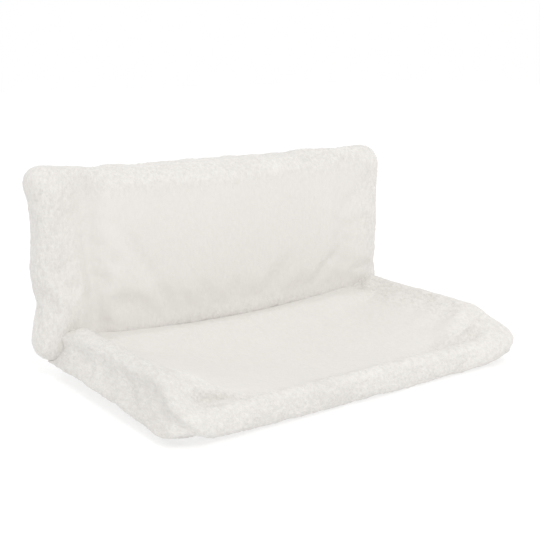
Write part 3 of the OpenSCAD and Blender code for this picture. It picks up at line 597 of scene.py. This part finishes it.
# ---- shape functions
def hill(v, middle, width):
    """1 at the middle, and falling off to 0 on both sides."""
    return np.exp(-(((v - middle) / width) ** 2))


def eased(v, low, high):
    """0 up to low and 1 from high, with a smooth step between."""
    t = np.clip((v - low) / (high - low), 0, 1)
    return t * t * (3 - 2 * t)


def stations(core, extra):
    """Places from one side to the other, whose last ones fan out round a rounded corner."""
    inner = np.linspace(0, core, round(core / PITCH) + 1)
    half = np.concatenate([inner, core + extra * FAN])
    return np.concatenate([-half[:0:-1], half])


def away_from(x, z, core_x, core_z):
    """The nearest place of a core rectangle, the direction away from it and the distance."""
    cx, cz = np.clip(x, -core_x, core_x), np.clip(z, -core_z, core_z)
    dx, dz = x - cx, z - cz
    size = np.hypot(dx, dz)
    safe = np.maximum(size, 1e-9)
    return cx, cz, dx / safe, dz / safe, size


def ear_at(nx, nz):
    """How far the cushion's corners are drawn out, the left ones most."""
    return 1 + (0.16 + 0.19 * (nx < 0)) * (2 * nx * nz) ** 2


def dip_at(x, nz):
    """How far the top edge sinks between its ends, and towards its right end."""
    return nz**2 * (nz > 0) * (hill(np.abs(x), 95.0, 70.0) - 1.2 + 2.0 * eased(x, 125.0, 185.0))


def waist_at(nx, height):
    """How far the cushion's upright sides are drawn in at a height."""
    left = 2.8 * hill(height, 160.0, 36.0) + 5.6 * hill(height, 79.0, 21.0)
    right = 2.2 + 2.8 * hill(height, 148.0, 32.0)
    return nx**2 * np.where(nx < 0, left, right)


def back_round(x, z, inset):
    """A point of the cushion's outline, with its corners drawn out and its sides drawn in."""
    cx, cz, nx, nz, _ = away_from(x, z, CORE_X, CORE_Z)
    reach = (CORE_INSET - inset) * ear_at(nx, nz) - waist_at(nx, MID_Z + cz)
    return cx + nx * reach, cz + nz * (reach - dip_at(cx, nz))


def back_inset(x, z):
    """How far inside the cushion's outline a place lies."""
    cx, cz, nx, nz, size = away_from(x, z, CORE_X, CORE_Z)
    return CORE_INSET - (size + waist_at(nx, MID_Z + cz)) / ear_at(nx, nz)


def edge_bulge(inset):
    """The rounded front edge's cross-section, from 0 at the outline to 1 at its inset."""
    t = np.clip((EDGE - inset) / EDGE, 0, 1)
    return (1 - t**EDGE_POWER) ** (1 / EDGE_POWER)


def back_relief(x, z):
    """How far the front face stands out or in, with its crown, valleys and soft creases."""
    across = np.clip(1 - (x / (BED_W / 2)) ** 2, 0, 1)
    upright = np.clip(1 - (z / (BACK_H / 2)) ** 2, 0, 1)
    fade = 0.4 + 0.6 * upright
    h = z + MID_Z
    left = hill(x, -170.0 - 0.085 * (h - 80), 11.0) * 10.5 * fade
    right = hill(x, 160.0, 13.0) * 4.5 * fade
    slant = (h - 123.0) * 0.62 + (x + 124.0)
    crease = 3.0 * hill(slant, 0.0, 9.0) * hill(h, 118.0, 42.0)
    nick = 1.6 * hill(x - 114.0 - (210.0 - h) * 1.6, 0.0, 6.0) * hill(h, 206.0, 9.0)
    return 3.0 * across * upright - left - right - crease - nick


def relief_share(depth):
    """How much of the front face's relief a depth has, none behind the cushion's middle."""
    return np.clip(2 * depth / BACK_T - 1, 0, 1) ** 1.5


def back_face(x, z):
    """Depth of the cushion's front face at a place."""
    base = BACK_T / 2 * (1 + edge_bulge(back_inset(x, z)))
    return base + back_relief(x, z) * relief_share(base)


def edge_curve():
    """Inset and depth of the rows round the edge, from the front net's border to the rear."""
    angles = np.radians(np.linspace(0, 90, 60))
    power, half = 2 / EDGE_POWER, BACK_T / 2
    sine, cosine = np.sin(angles), np.cos(angles)
    front = np.stack([EDGE * (1 - sine**power), half * (1 + cosine**power)], axis=1)
    rear = np.stack([REAR_EDGE * (1 - cosine), half * (1 - sine)], axis=1)
    start = np.array([[FRONT_BORDER, half * (1 + edge_bulge(FRONT_BORDER))]])
    curve = np.concatenate([start, front[front[:, 0] < FRONT_BORDER], rear[1:]])
    return even_rows(curve[:, None, :], EDGE_ROWS)[:, 0, :]


def back_net():
    """The cushion's points and faces, with the rows of point numbers round its edge."""
    xs, zs = stations(CORE_X, CORE_INSET), stations(CORE_Z, CORE_INSET)
    nx, nz = len(xs), len(zs)
    gx, gz = (g.ravel() for g in np.meshgrid(xs, zs))
    number = numbered(nx, nz)
    first = [*number[0], *number[1:, -1], *number[-1, -2::-1], *number[-2:0:-1, 0]]
    cx, cz, wx, wz, _ = away_from(gx, gz, CORE_X, CORE_Z)
    ring = np.maximum(np.abs(gx - cx), np.abs(gz - cz)) / CORE_INSET
    reach = ring * ((CORE_INSET - FRONT_BORDER) * ear_at(wx, wz) - waist_at(wx, MID_Z + cz))
    qx, qz = cx + wx * reach, cz + wz * (reach - dip_at(cx, wz) * ring)
    net = np.stack([qx, -back_face(qx, qz), MID_Z + qz], axis=1)
    rings = []
    for inset, depth in edge_curve()[1:]:
        ex, ez = back_round(gx[first], gz[first], inset)
        swell = back_relief(ex, ez) * relief_share(depth)
        rings.append(np.stack([ex, -(depth + swell), MID_Z + ez], axis=1))
    return with_rows(net, quads(number), first, rings, True)


def back_cushion():
    """The plush back: a shell that the cloth solver swells, tied down in its two valleys."""
    points, faces, rows = back_net()
    held = np.zeros(len(points))
    for row, weight in ((rows[-1], 1.0), (rows[-2], 1.0), (rows[-3], 0.6)):
        held[row] = weight
    x, z = points[:, 0], points[:, 2]
    front = points[:, 1] < -BACK_T * 0.8
    tied = np.maximum(hill(x, -172.0, 5.0), hill(x, 160.0, 5.0)) * hill(z, 110.0, 62.0)
    held = np.where(front & (tied > 0.5), np.maximum(held, 0.8), held)
    held = np.maximum(held, 1 - eased(z, 40, 62))  # the seat's cloth is sewn on here
    points = settle(points, faces, held, pressure=1.6, gravity=0.0)

    def rough_at(p):
        edge = np.maximum(eased(np.abs(p[:, 0]), 170, 222), eased(np.abs(p[:, 2] - MID_Z), 60, 90))
        rear = eased(p[:, 1], -6, -1)
        return (FLAT_PILE + (1 - FLAT_PILE) * edge) * (1 - 0.8 * rear)

    piece = plush_shell("back_cushion", "back", points, faces, rough_at, (1.0, 1.0, 0.6))


# ---- seat
def bar_fall(y):
    """How far the frame's front bar has fallen at a distance from the rear face."""
    s = np.clip(y - BEND_Y, 0, BEND_R * sin(BEND_ANGLE))
    bend = BEND_R - np.sqrt(BEND_R**2 - s**2)
    return bend + np.maximum(y - BEND_END_Y, 0) * tan(BEND_ANGLE)


def hem_z(y):
    """Height of the side walls' foot."""
    return WALL_HEM_Z + (ROLL_FOOT_Z - WALL_HEM_Z) * np.clip(y / ROLL_Y, 0, 1) ** 4


def tip_lift(x, y):
    """How far the foot of the front left corner stands off the ground."""
    return eased(-x, 60.0, 205.0) * eased(y, 228.0, 258.0)


def seat_way(x, y):
    """The bar's nearest place and the direction away from the seat there."""
    cx, cy = np.clip(x, -SEAT_CORE_X, SEAT_CORE_X), np.minimum(y, SEAT_CORE_Y)
    nx, ny = (x - cx) / CORNER_R, (y - cy) / SEAT_CORNER_Y
    size = np.maximum(np.hypot(nx, ny), 1e-9)
    nx, ny = nx / size, ny / size
    return cx + nx * CORNER_R, cy + ny * SEAT_CORNER_Y, nx, ny


def wall_reach(y):
    """How far the side walls stand out from the rails."""
    return 20.5 - 2.0 * np.clip(y / ROLL_Y, 0, 1)


def web_at(x, y):
    """Share of the taut web that crosses each front corner, from the ridge to the roll."""
    past = (np.abs(x) - WEB_X) * WEB_ACROSS + (y - WEB_Y) * WEB_AHEAD
    past = past / hypot(WEB_ACROSS, WEB_AHEAD)
    return np.where(x < 0, eased(past, -26.0, 8.0), 0.8 * eased(past, -22.0, 14.0))


def corner_rise(x, y, sideways):
    """How far the stretched cloth stands above the bar where it falls to the front corners."""
    return np.where(x < 0, 10.0, 9.0) * eased(y, 220.0, 250.0) * sideways


def dish_z(x, y):
    """Height of the plush inside the ridges and roll, with a taut web across each front corner."""
    power = 2.3
    side = np.clip(np.abs(x) / (RAIL_X - FOOT_INSET), 0, 1) ** power
    middle_y = (SEAT_REAR_Y + ROLL_Y) / 2
    half_y = (ROLL_Y - FOOT_INSET) - middle_y
    front = np.clip((y - middle_y) / half_y, 0, 1) ** power
    rear = np.clip((middle_y - y) / half_y, 0, 1) ** power
    side_z = RAIL_Z - bar_fall(y) + RIDGE_R * 0.55
    front_z, rear_z = ROLL_Z + ROLL_R * 0.45, RAIL_Z * 0.75
    lift = 1 - (1 - side) * (1 - front) * (1 - rear)
    total = side + front + rear
    mean = (side * side_z + front * front_z + rear * rear_z) / np.maximum(total, 1e-6)
    edge = np.where(total < 1e-6, HAMMOCK_Z, mean)
    z = HAMMOCK_Z * (1 - lift) + edge * lift
    web = web_at(x, y)
    taut = RAIL_Z - bar_fall(y) + 9.5 + corner_rise(x, y, eased(np.abs(x), 150.0, 190.0))
    return z * (1 - web) + np.maximum(z, taut) * web


def filled(r, nx, ny):
    """The cloth fills the corners out past the bar."""
    fill = CORNER_FILL + 6.0 * (nx > 0)
    return r + fill * (2 * nx * ny) ** 2 * np.clip(r / ROLL_R, 0, 1)


def seat_profile(x, y):
    """For border places, the curve from the dish over the ridge or roll down to the hem."""
    bx, by, nx, ny = seat_way(x, y)
    front = ny**2  # 0 on the ridges and 1 on the roll
    bar_z = RAIL_Z - bar_fall(by) + corner_rise(bx, by, np.clip(1.7 * nx**2, 0, 1))
    knob = 0.5 + 0.56 * eased(by, 52.0, 62.0) - 0.06 * eased(by, 66.0, 90.0)
    big = RIDGE_R * knob * (1 - front) + ROLL_R * front
    hem = hem_z(by) * (1 - front) + ROLL_FOOT_Z * front
    wall = wall_reach(by)
    lift = tip_lift(bx, by) * (2.4 + 0.8 * (2 * nx * ny) ** 2)
    knots = [(-FOOT_INSET, dish_z(bx - nx * FOOT_INSET, by - ny * FOOT_INSET))]
    web = web_at(bx - nx * 10.0, by - ny * 10.0)
    shelf = 1 - eased(by, 55.0, 65.0)  # flat cloth behind the ridge's rear end
    for angle, taut in ((150, 0.85), (115, 0.95), (80, 0.98), (46, 0.72), (15, 0.25)):
        a = radians(angle)
        up = sin(a) * (1 - web) + taut * web
        out = big * cos(a)
        if angle < 60:
            out = out * (1 - shelf) + (8.0 + 0.16 * (46 - angle)) * shelf
            up = up * (1 - shelf) + (4.5 - 0.06 * (46 - angle)) / big * shelf
        knots.append((out, bar_z + big * up))
    drop = bar_z - hem
    crease = 2.5 * hill(by, 200.0, 12.0) * (nx < 0)
    hollow = eased(by, 14.0, 60.0)
    side_wall = [
        ((big * 0.86) * (1 - shelf) + 15.5 * shelf, bar_z - drop * (0.14 - 0.06 * shelf)),
        (wall * (0.85 - 0.3 * hollow), bar_z - 0.3 * drop),
        (wall * (1 - 0.2 * hollow) - crease, bar_z - 0.6 * drop),
        (wall, hem + 0.14 * drop),
        (wall * 0.82, hem),
        (wall * HEM_SHARE, hem),
    ]
    under = [radians(a) for a in (-12, -37, -62, -86, -110)]
    roll = [(big * cos(a), bar_z + big * sin(a)) for a in under] + [(-ROLL_R * 0.5, hem)]
    for side, ahead, share in zip(side_wall, roll, (0.3, 0.5, 0.7, 0.9, 1.0, 1.0)):
        out, height = (s * (1 - front) + a * front for s, a in zip(side, ahead))
        knots.append((out, height + share * lift))
    knots = [np.stack([np.broadcast_to(v, x.shape) for v in knot], axis=1) for knot in knots]
    curve = even_rows(spline_rows(knots), SEAT_ROWS)
    curve[:, :, 0] = filled(curve[:, :, 0], nx, ny)
    return bx, by, nx, ny, curve


def sewn_y(x, y, z):
    """Depth of a seat point, whose rear end is sewn along the back cushion's face."""
    inset = back_inset(x, z - MID_Z)
    rear = np.where(inset > 0, back_face(x, z - MID_Z), BACK_T * 0.4) - 0.8
    drawn = rear + (y - SEAT_REAR_Y) * (SEWN_Y - rear) / (SEWN_Y - SEAT_REAR_Y)
    return np.where(y < SEWN_Y, drawn, y)


def seat_net():
    """The seat's points and faces, the rows over its border and how many places it has across."""
    xs = stations(SEAT_CORE_X, CORNER_R)
    count = round((SEAT_CORE_Y - SEAT_REAR_Y) / PITCH) + 1
    straight = np.linspace(SEAT_REAR_Y, SEAT_CORE_Y, count)
    ys = np.concatenate([straight, SEAT_CORE_Y + SEAT_CORNER_Y * FAN])
    nx, ny = len(xs), len(ys)
    gx, gy = (g.ravel() for g in np.meshgrid(xs, ys))
    bx, by, wx, wy = seat_way(gx, gy)
    cx, cy = np.clip(gx, -SEAT_CORE_X, SEAT_CORE_X), np.minimum(gy, SEAT_CORE_Y)
    ring = np.maximum(np.abs(gx - cx) / CORNER_R, (gy - cy) / SEAT_CORNER_Y)
    qx = cx + ring * (bx - wx * FOOT_INSET - cx)
    qy = cy + ring * (by - wy * FOOT_INSET - cy)
    number = numbered(nx, ny)
    first = [*number[:, 0], *number[-1, 1:], *number[-2::-1, -1]]
    qz = dish_z(qx, qy)
    net = np.stack([qx, -sewn_y(qx, qy, qz), qz], axis=1)
    rings = []
    bx, by, wx, wy, curve = seat_profile(gx[first], gy[first])
    for reach, height in curve[1:].transpose(0, 2, 1):
        px, py = bx + wx * reach, by + wy * reach
        rings.append(np.stack([px, -sewn_y(px, py, height), height], axis=1))
    faces = [f[::-1] for f in quads(number)]
    return *with_rows(net, faces, first, rings, False), nx


def wall_end(name, border, side):
    """Closes a side wall's rear end, behind the back cushion's lower corner."""
    outside = [p for p in border if p[1] > -BACK_T * 0.6]
    ring = np.array([(side * (RAIL_X + 2.0), outside[0][1], MID_Z - BACK_H / 2 + 10.0), *outside])
    skins = np.concatenate([ring - (0, 0.2, 0), ring - (0, 1.8, 0)])
    faces = two_skins([(0, k, k + 1) for k in range(1, len(ring) - 1)], len(ring))
    add_piece(name, skins, faces, "seat_plush", "plush", smooth=False)


def seat_cover():
    """The plush seat: hammock, ridges, roll and side walls, in one sewn cover."""
    points, faces, rows, nx = seat_net()
    held = np.zeros(len(points))
    for k in (*CREST_ROWS, *HEM_ROWS):
        held[rows[k]] = 1.0
    held[[j * nx + i for j in (0, 1) for i in range(nx)]] = 1.0
    held = np.maximum(held, 1 - eased(-points[:, 1], 50, 66))
    points = settle(points, faces, held, pressure=0.6, gravity=0.15)
    for name, side, end in (("left_wall_end", -1, 0), ("right_wall_end", 1, -1)):
        wall_end(name, [points[row[end]] for row in rows[CREST_ROWS[-1] :]], side)

    def rough_at(p):
        edge = np.maximum(eased(np.abs(p[:, 0]), 150, 190), eased(-p[:, 1], 225, 250))
        return FLAT_PILE + (1 - FLAT_PILE) * edge

    piece = plush_shell("seat_cover", "seat", points, faces, rough_at, (1.0, 0.6, 1.0))


# ---- panels and cloth
def between(keys, pitch):
    """Places about pitch apart, with every key among them."""
    places = [keys[0]]
    for a, b in zip(keys, keys[1:]):
        steps = max(1, round((b - a) / pitch))
        places += [a + (b - a) * k / steps for k in range(1, steps + 1)]
    return np.array(places)


def holed_panel(xs, zs, holes, place):
    """A panel with holes: the rear and front nets that place gives, joined round each border."""
    gx, gz = (g.ravel() for g in np.meshgrid(xs, zs))
    faces = []
    for face in quads(numbered(len(xs), len(zs))):
        mx, mz = (gx[face[0]] + gx[face[2]]) / 2, (gz[face[0]] + gz[face[2]]) / 2
        if not any(x0 < mx < x1 and z0 < mz < z1 for x0, x1, z0, z1 in holes):
            faces.append(face)
    return only_used(np.concatenate(place(gx, gz)), two_skins(faces, len(gx)))


def outside_of(x, z, hole):
    """Distance from a hole, negative inside it."""
    dx = np.maximum(hole[0] - x, x - hole[1])
    dz = np.maximum(hole[2] - z, z - hole[3])
    return np.where((dx > 0) & (dz > 0), np.hypot(dx, dz), np.maximum(dx, dz))


def rear_panel():
    """The padded panel against the radiator, quilted round its edge, the slits and the zip."""
    reach = CORE_INSET - PANEL_INSET
    edge_x = {-(CORE_X + reach), -CORE_X, CORE_X, CORE_X + reach}
    edge_z = {MID_Z - CORE_Z - reach, MID_Z - CORE_Z, MID_Z + CORE_Z, MID_Z + CORE_Z + reach}
    xs = between(sorted(edge_x.union(*(h[:2] for h in HOLES))), 2.6)
    zs = between(sorted(edge_z.union(*(h[2:] for h in HOLES))), 2.6)

    def place(x, z):
        cx, cz, nx, nz, _ = away_from(x, z - MID_Z, CORE_X, CORE_Z)
        ring = np.maximum(np.abs(x - cx), np.abs(z - MID_Z - cz))
        ear = ear_at(nx, nz)
        px, pz = cx + nx * ring * ear, MID_Z + cz + nz * ring * ear
        inside = reach - ring
        gaps = [outside_of(px, pz, h) for h in HOLES]
        edge = np.minimum.reduce([inside, *gaps])
        t = np.clip(1 - edge / 3.2, 0, 1)
        rounded = 3.0 * (1 - np.sqrt(np.maximum(1 - t**2, 0)))
        seams = [hill(inside, EDGE_SEAM, 1.5)]
        seams += [hill(g, HOLE_SEAM, 1.4) * (np.minimum(inside, 20) > 5) for g in gaps]
        quilt = np.maximum.reduce(seams) * 1.1
        for height in QUILT_Z:
            across = hill(pz, height, 1.5) * np.clip((edge - EDGE_SEAM) / 2.0, 0, 1)
            quilt = np.maximum(quilt, across)
        wave = ripples(px / 23.0, 3.0, pz / 23.0) * 0.25
        rear = -np.maximum(rounded + quilt + 0.2 + wave * np.clip(edge / 6, 0, 1), 0)
        front = -REAR_PANEL_T + rounded + quilt * 0.7
        return np.stack([px, rear, pz], axis=1), np.stack([px, front, pz], axis=1)

    points, faces = holed_panel(xs, zs, HOLES, place)
    piece = add_piece("rear_panel", points, faces, "backing", node="back_rear_panel")


def stitch_path(points):
    """Stitches of thread along a line: short spindles, each pressed in at its ends."""
    spindle = ((-1.45, 0.12, 0.55), (-0.75, 0.34, 0.1), (0.75, 0.34, 0.1), (1.45, 0.12, 0.55))
    sides = 6
    stitch = tube_faces(len(spindle), sides) + tube_ends(len(spindle), sides)
    made, faces = [], []
    for a, b in zip(np.array(points), np.array(points[1:])):
        length = float(np.linalg.norm(b - a))
        count = max(1, int(length / 4.2))
        along = (b - a) / length
        out = np.array([0.0, 1.0, 0.0])
        side = np.cross(along, out)
        for k in range(count):
            middle = a + along * (k + 0.5) * length / count
            faces += [tuple(len(made) + i for i in f) for f in stitch]
            for t, r, sunk in spindle:
                for s in range(sides):
                    angle = s * pi / 3
                    round_it = side * cos(angle) + out * sin(angle)
                    made.append(middle + along * t + round_it * r - out * sunk)
    return made, faces


def stitches():
    """Thread round the rear panel, the slits and the zip, and along the quilting."""
    inset = PANEL_INSET + EDGE_SEAM
    corners = []
    for sx, sz, start in ((1, -1, -90), (1, 1, 0), (-1, 1, 90), (-1, -1, 180)):
        for a in range(0, 91, 18):
            nx, nz = cos(radians(start + a)), sin(radians(start + a))
            r = (CORE_INSET - inset) * float(ear_at(nx, nz))
            corners.append((sx * CORE_X + nx * r, MID_Z + sz * CORE_Z + nz * r))
    lines = [[*corners, corners[0]]]
    for x0, x1, z0, z1 in HOLES:
        low, high = z0 - HOLE_SEAM, z1 + HOLE_SEAM
        if x1 - x0 == ZIP_L:
            lines += [[(x0 + 6, z), (x1 - 6, z)] for z in (low, high)]
        else:
            left, right = x0 - HOLE_SEAM, x1 + HOLE_SEAM
            lines.append([(left, low), (right, low), (right, high), (left, high), (left, low)])
    lines += [[(-196.0, z), (196.0, z)] for z in QUILT_Z]
    points, faces = [], []
    for line in lines:
        made, its_faces = stitch_path([(x, THREAD_Y, z) for x, z in line])
        faces += [tuple(i + len(points) for i in f) for f in its_faces]
        points += made
    add_piece("panel_stitches", points, faces, "thread", "backing")


def belly_height(x, y):
    """The cloth under the seat hangs from the hems down to the flat belly."""
    margin = 36.0
    across = np.clip((np.abs(x) - BELLY_W / 2) / (RAIL_X - BELLY_W / 2), 0, 1)
    front = np.clip((y - ROLL_Y + margin) / (margin - ROLL_R), 0, 1)
    rear = np.clip((margin - y) / (margin - REAR_PANEL_T), 0, 1)
    return hem_z(y) * (1 - (1 - across**2) * (1 - front**2) * (1 - rear**2))


def under_panel():
    """The cloth under the seat, one sheet with a thin hem along its border."""
    steps_x, steps_y = 72, 44
    across, along = np.linspace(-1, 1, steps_x + 1), np.linspace(0, 1, steps_y + 1)
    gu, gv = (g.ravel() for g in np.meshgrid(across, along))
    rear_y = REAR_PANEL_T + 0.6
    y = rear_y + gv * (ROLL_Y - ROLL_R * 0.5 - rear_y)
    past = np.clip((y - (ROLL_Y - 30.0)) / 23.0, 0, 1)  # rounds the front corners
    corner = 12.0 * (1 - np.sqrt(np.maximum(1 - past**2, 0)))
    x = gu * (RAIL_X - 0.5 + HEM_SHARE * wall_reach(y) - corner)
    z = belly_height(x, y) + 9.2 * (1 - eased(y, 4.0, 48.0))  # sewn to the back cushion's foot
    z = z + 2.4 * tip_lift(x, y + 8.0) * np.clip(np.abs(gu) * 5 - 4, 0, 1)
    sag = 0.5 * ripples(x / 45.0, y / 30.0, 7.0)
    low = np.maximum(z + sag * np.clip(z / 1.5, 0, 1), 0.0) + 0.05
    edge = np.minimum(np.minimum(1 - np.abs(gu), gv) * 190.0, (1 - gv) * 250.0)
    thick = 2.2 + 0.5 * (edge < 9.0)
    points = np.concatenate([np.stack([x, -y, height], axis=1) for height in (low + thick, low)])
    faces = two_skins(quads(numbered(steps_x + 1, steps_y + 1)), len(x))
    piece = add_piece("under_panel", points, faces, "backing", node="seat_under_panel")


# ---- zip
def zip_coil(side, label):
    """The row of nylon teeth of one tape, a coil of wire."""
    pitch, wire, sides = 1.6, 0.36, 5
    half_y, half_z, hub_z = 1.2, 1.1, 2.0
    turns = int((ZIP_L - 3.0) / pitch)
    steps = 9
    angle = np.arange(turns * steps + 1) * 2 * pi / steps
    cx = -turns * pitch / 2 + pitch * angle / (2 * pi)
    cy = -(ZIP_Y + (half_y - wire) * np.sin(angle))
    cz = ZIP_Z + side * (hub_z + (half_z - wire) * np.cos(angle))
    centre = np.stack([cx, cy, cz], axis=1)
    ahead = unit(np.gradient(centre, axis=0))
    out = centre * (0, 1, 1) - (0, -ZIP_Y, ZIP_Z + side * hub_z)
    out = unit(out - ahead * np.sum(out * ahead, axis=1)[:, None])
    third = np.cross(ahead, out)
    turned = np.arange(sides) * 2 * pi / sides
    rings = [centre + (out * cos(a) + third * sin(a)) * wire for a in turned]
    points = np.stack(rings, axis=1).reshape(-1, 3)
    faces = tube_faces(len(centre), sides) + tube_ends(len(centre), sides)
    return add_piece(f"{label}_zip_coil", points, faces, "zip_nylon", "zip_tape")


def zip_half(side):
    """One tape with its nylon coil, side 1 above and -1 below the slider's line."""
    label = "upper" if side > 0 else "lower"
    coil = zip_coil(side, label)
    nx, nz = 136, 12
    half_x, half_t = ZIP_L / 2 - 0.3, 0.34
    # The tape's depth and height, from the coil to the panel's inner side
    knots = [(ZIP_Y, 1.0), (ZIP_Y, 4.4), (5.7, 6.3), (7.4, 7.5), (8.9, 9.2), (8.9, 12.6)]
    way = even_rows(spline_rows(knots)[:, None, :], nz)[:, 0, :]
    ahead = unit(np.gradient(way, axis=0))
    gx, gk = (g.ravel() for g in np.meshgrid(np.linspace(-half_x, half_x, nx), np.arange(nz)))
    depth = way[gk, 0] + 0.1 * ripples(gx / 11.0, 1.5 * side, gk / 6) * gk / nz
    height = way[gk, 1]
    skins = []
    for thick in (half_t, -half_t):
        y, z = depth + thick * ahead[gk, 1], height - thick * ahead[gk, 0]
        skins.append(np.stack([gx, -y, ZIP_Z + side * z], axis=1))
    faces = two_skins(quads(numbered(nx, nz)), len(gx))
    node = f"{label}_zip_tape"
    tape = add_piece(f"{label}_tape", np.concatenate(skins), faces, "zip_cloth", "zip_tape", node)


# ---- foam
def foam_pad():
    """The foam slab in front of the frame, with rounded edges and bulging sides."""
    low, high = (np.array(corner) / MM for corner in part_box("back_foam_pad"))
    half = (high - low) / 2
    edge_r, steps = 4.2, (60, 5, 26)
    axes = np.meshgrid(*(np.linspace(-1, 1, n) for n in steps), indexing="ij")
    unit = np.stack(axes, axis=-1).reshape(-1, 3)
    inner = np.clip(unit * half, edge_r - half, half - edge_r)
    out = unit * half - inner
    size = np.maximum(np.linalg.norm(out, axis=1), 1e-9)
    points = inner + out * (np.abs(out).max(axis=1) / size)[:, None]
    bump = 0.35 * ripples(points[:, 0] / 30, points[:, 2] / 30, 5.0)
    points[:, 1] += bump * (1 - np.abs(unit[:, 1])) - 0.3 * unit[:, 1]
    points += (high + low) / 2 - (0, REAR_Y / MM, 0)
    number = np.arange(len(points)).reshape(steps)
    faces = []
    for axis in range(3):
        for end in (0, -1):
            faces += quads(np.take(number, end, axis))
    piece = add_piece("foam_pad", *only_used(points, faces), "foam", node="back_foam_pad")


def foam_sleeve():
    """The split foam tube on the front bar, with rounded ends."""
    low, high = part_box("front_foam_sleeve")
    radius = (high[2] - low[2]) / 2 / MM
    half = (high[0] - low[0]) / 2 / MM
    bore, sides, steps = 5.5, 40, 40
    end = [(radius - 1.5, half), (radius - 0.4, half - 0.5), (radius, half - 1.6)]
    section = [(bore, -half), (bore, half), *end]
    section += [(radius, half - 1.6 - (2 * half - 3.2) * k / steps) for k in range(1, steps)]
    section += [(r, -x) for r, x in reversed(end)]
    points = []
    for s in range(sides):
        a = 2 * pi * s / sides
        y, z = cos(a), sin(a)
        for r, x in section:
            wave = 0.12 * noise.noise(Vector((x / 9.0, y, z))) if r == radius else 0.0
            slit = 0.9 * exp(-(((a - pi * 1.5) * 14) ** 2)) if r > bore else 0.0
            r = r - 0.15 + wave - slit
            points.append((x, -ROLL_Y + r * y, ROLL_Z + r * z))
    faces = tube_faces(sides, len(section), closed=True)
    piece = add_piece("foam_sleeve", points, faces, "foam", node="front_foam_sleeve")


# ---- hardware
def softened(node, body, slot, width, folds=()):
    """A copy of a CAD solid with rounded edges and bent folds, each a depth, height and radius."""
    mesh = bmesh.new()
    mesh.from_mesh(frame["nodes"][node].data)
    bmesh.ops.remove_doubles(mesh, verts=mesh.verts, dist=1e-6)
    one = radians(1.0)
    bmesh.ops.dissolve_limit(mesh, angle_limit=one, verts=mesh.verts, edges=mesh.edges)
    for y, z, radius in folds:
        y, z = REAR_Y + y * MM, z * MM
        near = {v for v in mesh.verts if abs(v.co.y - y) < 2e-4 and abs(v.co.z - z) < 2e-4}
        edges = [e for e in mesh.edges if near.issuperset(e.verts)]
        options = {"segments": 6, "profile": 0.5, "affect": "EDGES"}
        bmesh.ops.bevel(mesh, geom=edges, offset=radius * MM, **options)
    data = bpy.data.meshes.new(node + "_soft")
    mesh.to_mesh(data)
    mesh.free()
    data.polygons.foreach_set("use_smooth", [True] * len(data.polygons))
    data.materials.clear()
    data.materials.append(MATERIALS[slot])
    piece = linked(node + "_soft", data)
    bevel = piece.modifiers.new("bevel", "BEVEL")
    bevel.width = width * MM
    bevel.segments = 2
    bevel.limit_method = "ANGLE"
    bevel.angle_limit = radians(35)
    bevel.harden_normals = True
    finish_piece(piece, body, node)


def clamp_screw(side, label):
    """A clamp screw with a rounded head and a real thread."""
    screw = f"{label}_clamp_screw"
    low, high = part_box(screw)
    z0, z1 = low[2] / MM, high[2] / MM
    head_r = (high[0] - low[0]) / 2 / MM
    head_h, tip_h, thread = 1.3, 0.6, 0.42
    sides, pitch = 28, 1.0
    rows = [(0.01, z0), (head_r - 0.9, z0), (head_r - 0.25, z0 + 0.25), (head_r, z0 + 0.7)]
    rows += [(head_r, z0 + head_h), (CLAMP_R, z0 + head_h)]
    plain = len(rows)
    shank = z1 - tip_h - z0 - head_h
    count = int(shank / (pitch / 6))
    rows += [(CLAMP_R, z0 + head_h + shank * k / count) for k in range(1, count + 1)]
    rows += [(CLAMP_R - 0.5, z1), (0.01, z1)]
    points = []
    for k, (r, z) in enumerate(rows):
        for s in range(sides):
            a = 2 * pi * s / sides
            phase = (z / pitch - a / (2 * pi)) % 1.0
            out = r - thread * abs(2 * phase - 1) * (plain <= k < len(rows) - 2)
            points.append((side * ARM_X + out * cos(a), CLAMP_Y + out * sin(a), z))
    faces = tube_faces(len(rows), sides) + tube_ends(len(rows), sides)
    piece = add_piece(f"{label}_screw_thread", points, faces, "zinc", node=screw)
    piece.data.set_sharp_from_angle(angle=radians(40))


def hardware():
    """Arms, hooks, clamps, grommets and slider, with softened edges."""
    hook_z = ARM_Z + STRIP_T + SLIDE_GAP
    folds = [(GRIP_DEPTH + t, hook_z + t, FOLD_R + t) for t in (STRIP_T, 0.0)]
    for side, label in ((-1, "left"), (1, "right")):
        softened(f"{label}_hook", f"{label}_hook", "strip_steel", 0.45, folds)
        softened(f"{label}_hanging_arm", "root", "strip_steel", 0.45)
        softened(f"{label}_hook_cap", f"{label}_hook", "soft_cap", 0.55)
        softened(f"{label}_arm_pad", "root", "soft_cap", 0.4)
        softened(f"{label}_clamp_washer", f"{label}_washer", "zinc", 0.25)
        softened(f"{label}_wing_nut", f"{label}_nut", "zinc", 0.6)
        clamp_screw(side, label)
    softened("slit_grommets", "root", "nylon", 0.5)
    softened("zip_slider", "zip_slider", "zip_metal", 0.22)
    softened("zip_pull_tab", "zip_pull_tab", "zip_metal", 0.22)


# ---- build
add_camera()
make_materials()
add_studio()
back_cushion()
seat_cover()
rear_panel()
stitches()
under_panel()
zip_half(1)
zip_half(-1)
foam_pad()
foam_sleeve()
hardware()
for name, obj in frame["nodes"].items():
    slot = next(s["material_slot"] for s in frame["record"]["subparts"] if s["node"] == name)
    for place in obj.material_slots:
        place.material = MATERIALS.get(slot, MATERIALS["backing"])
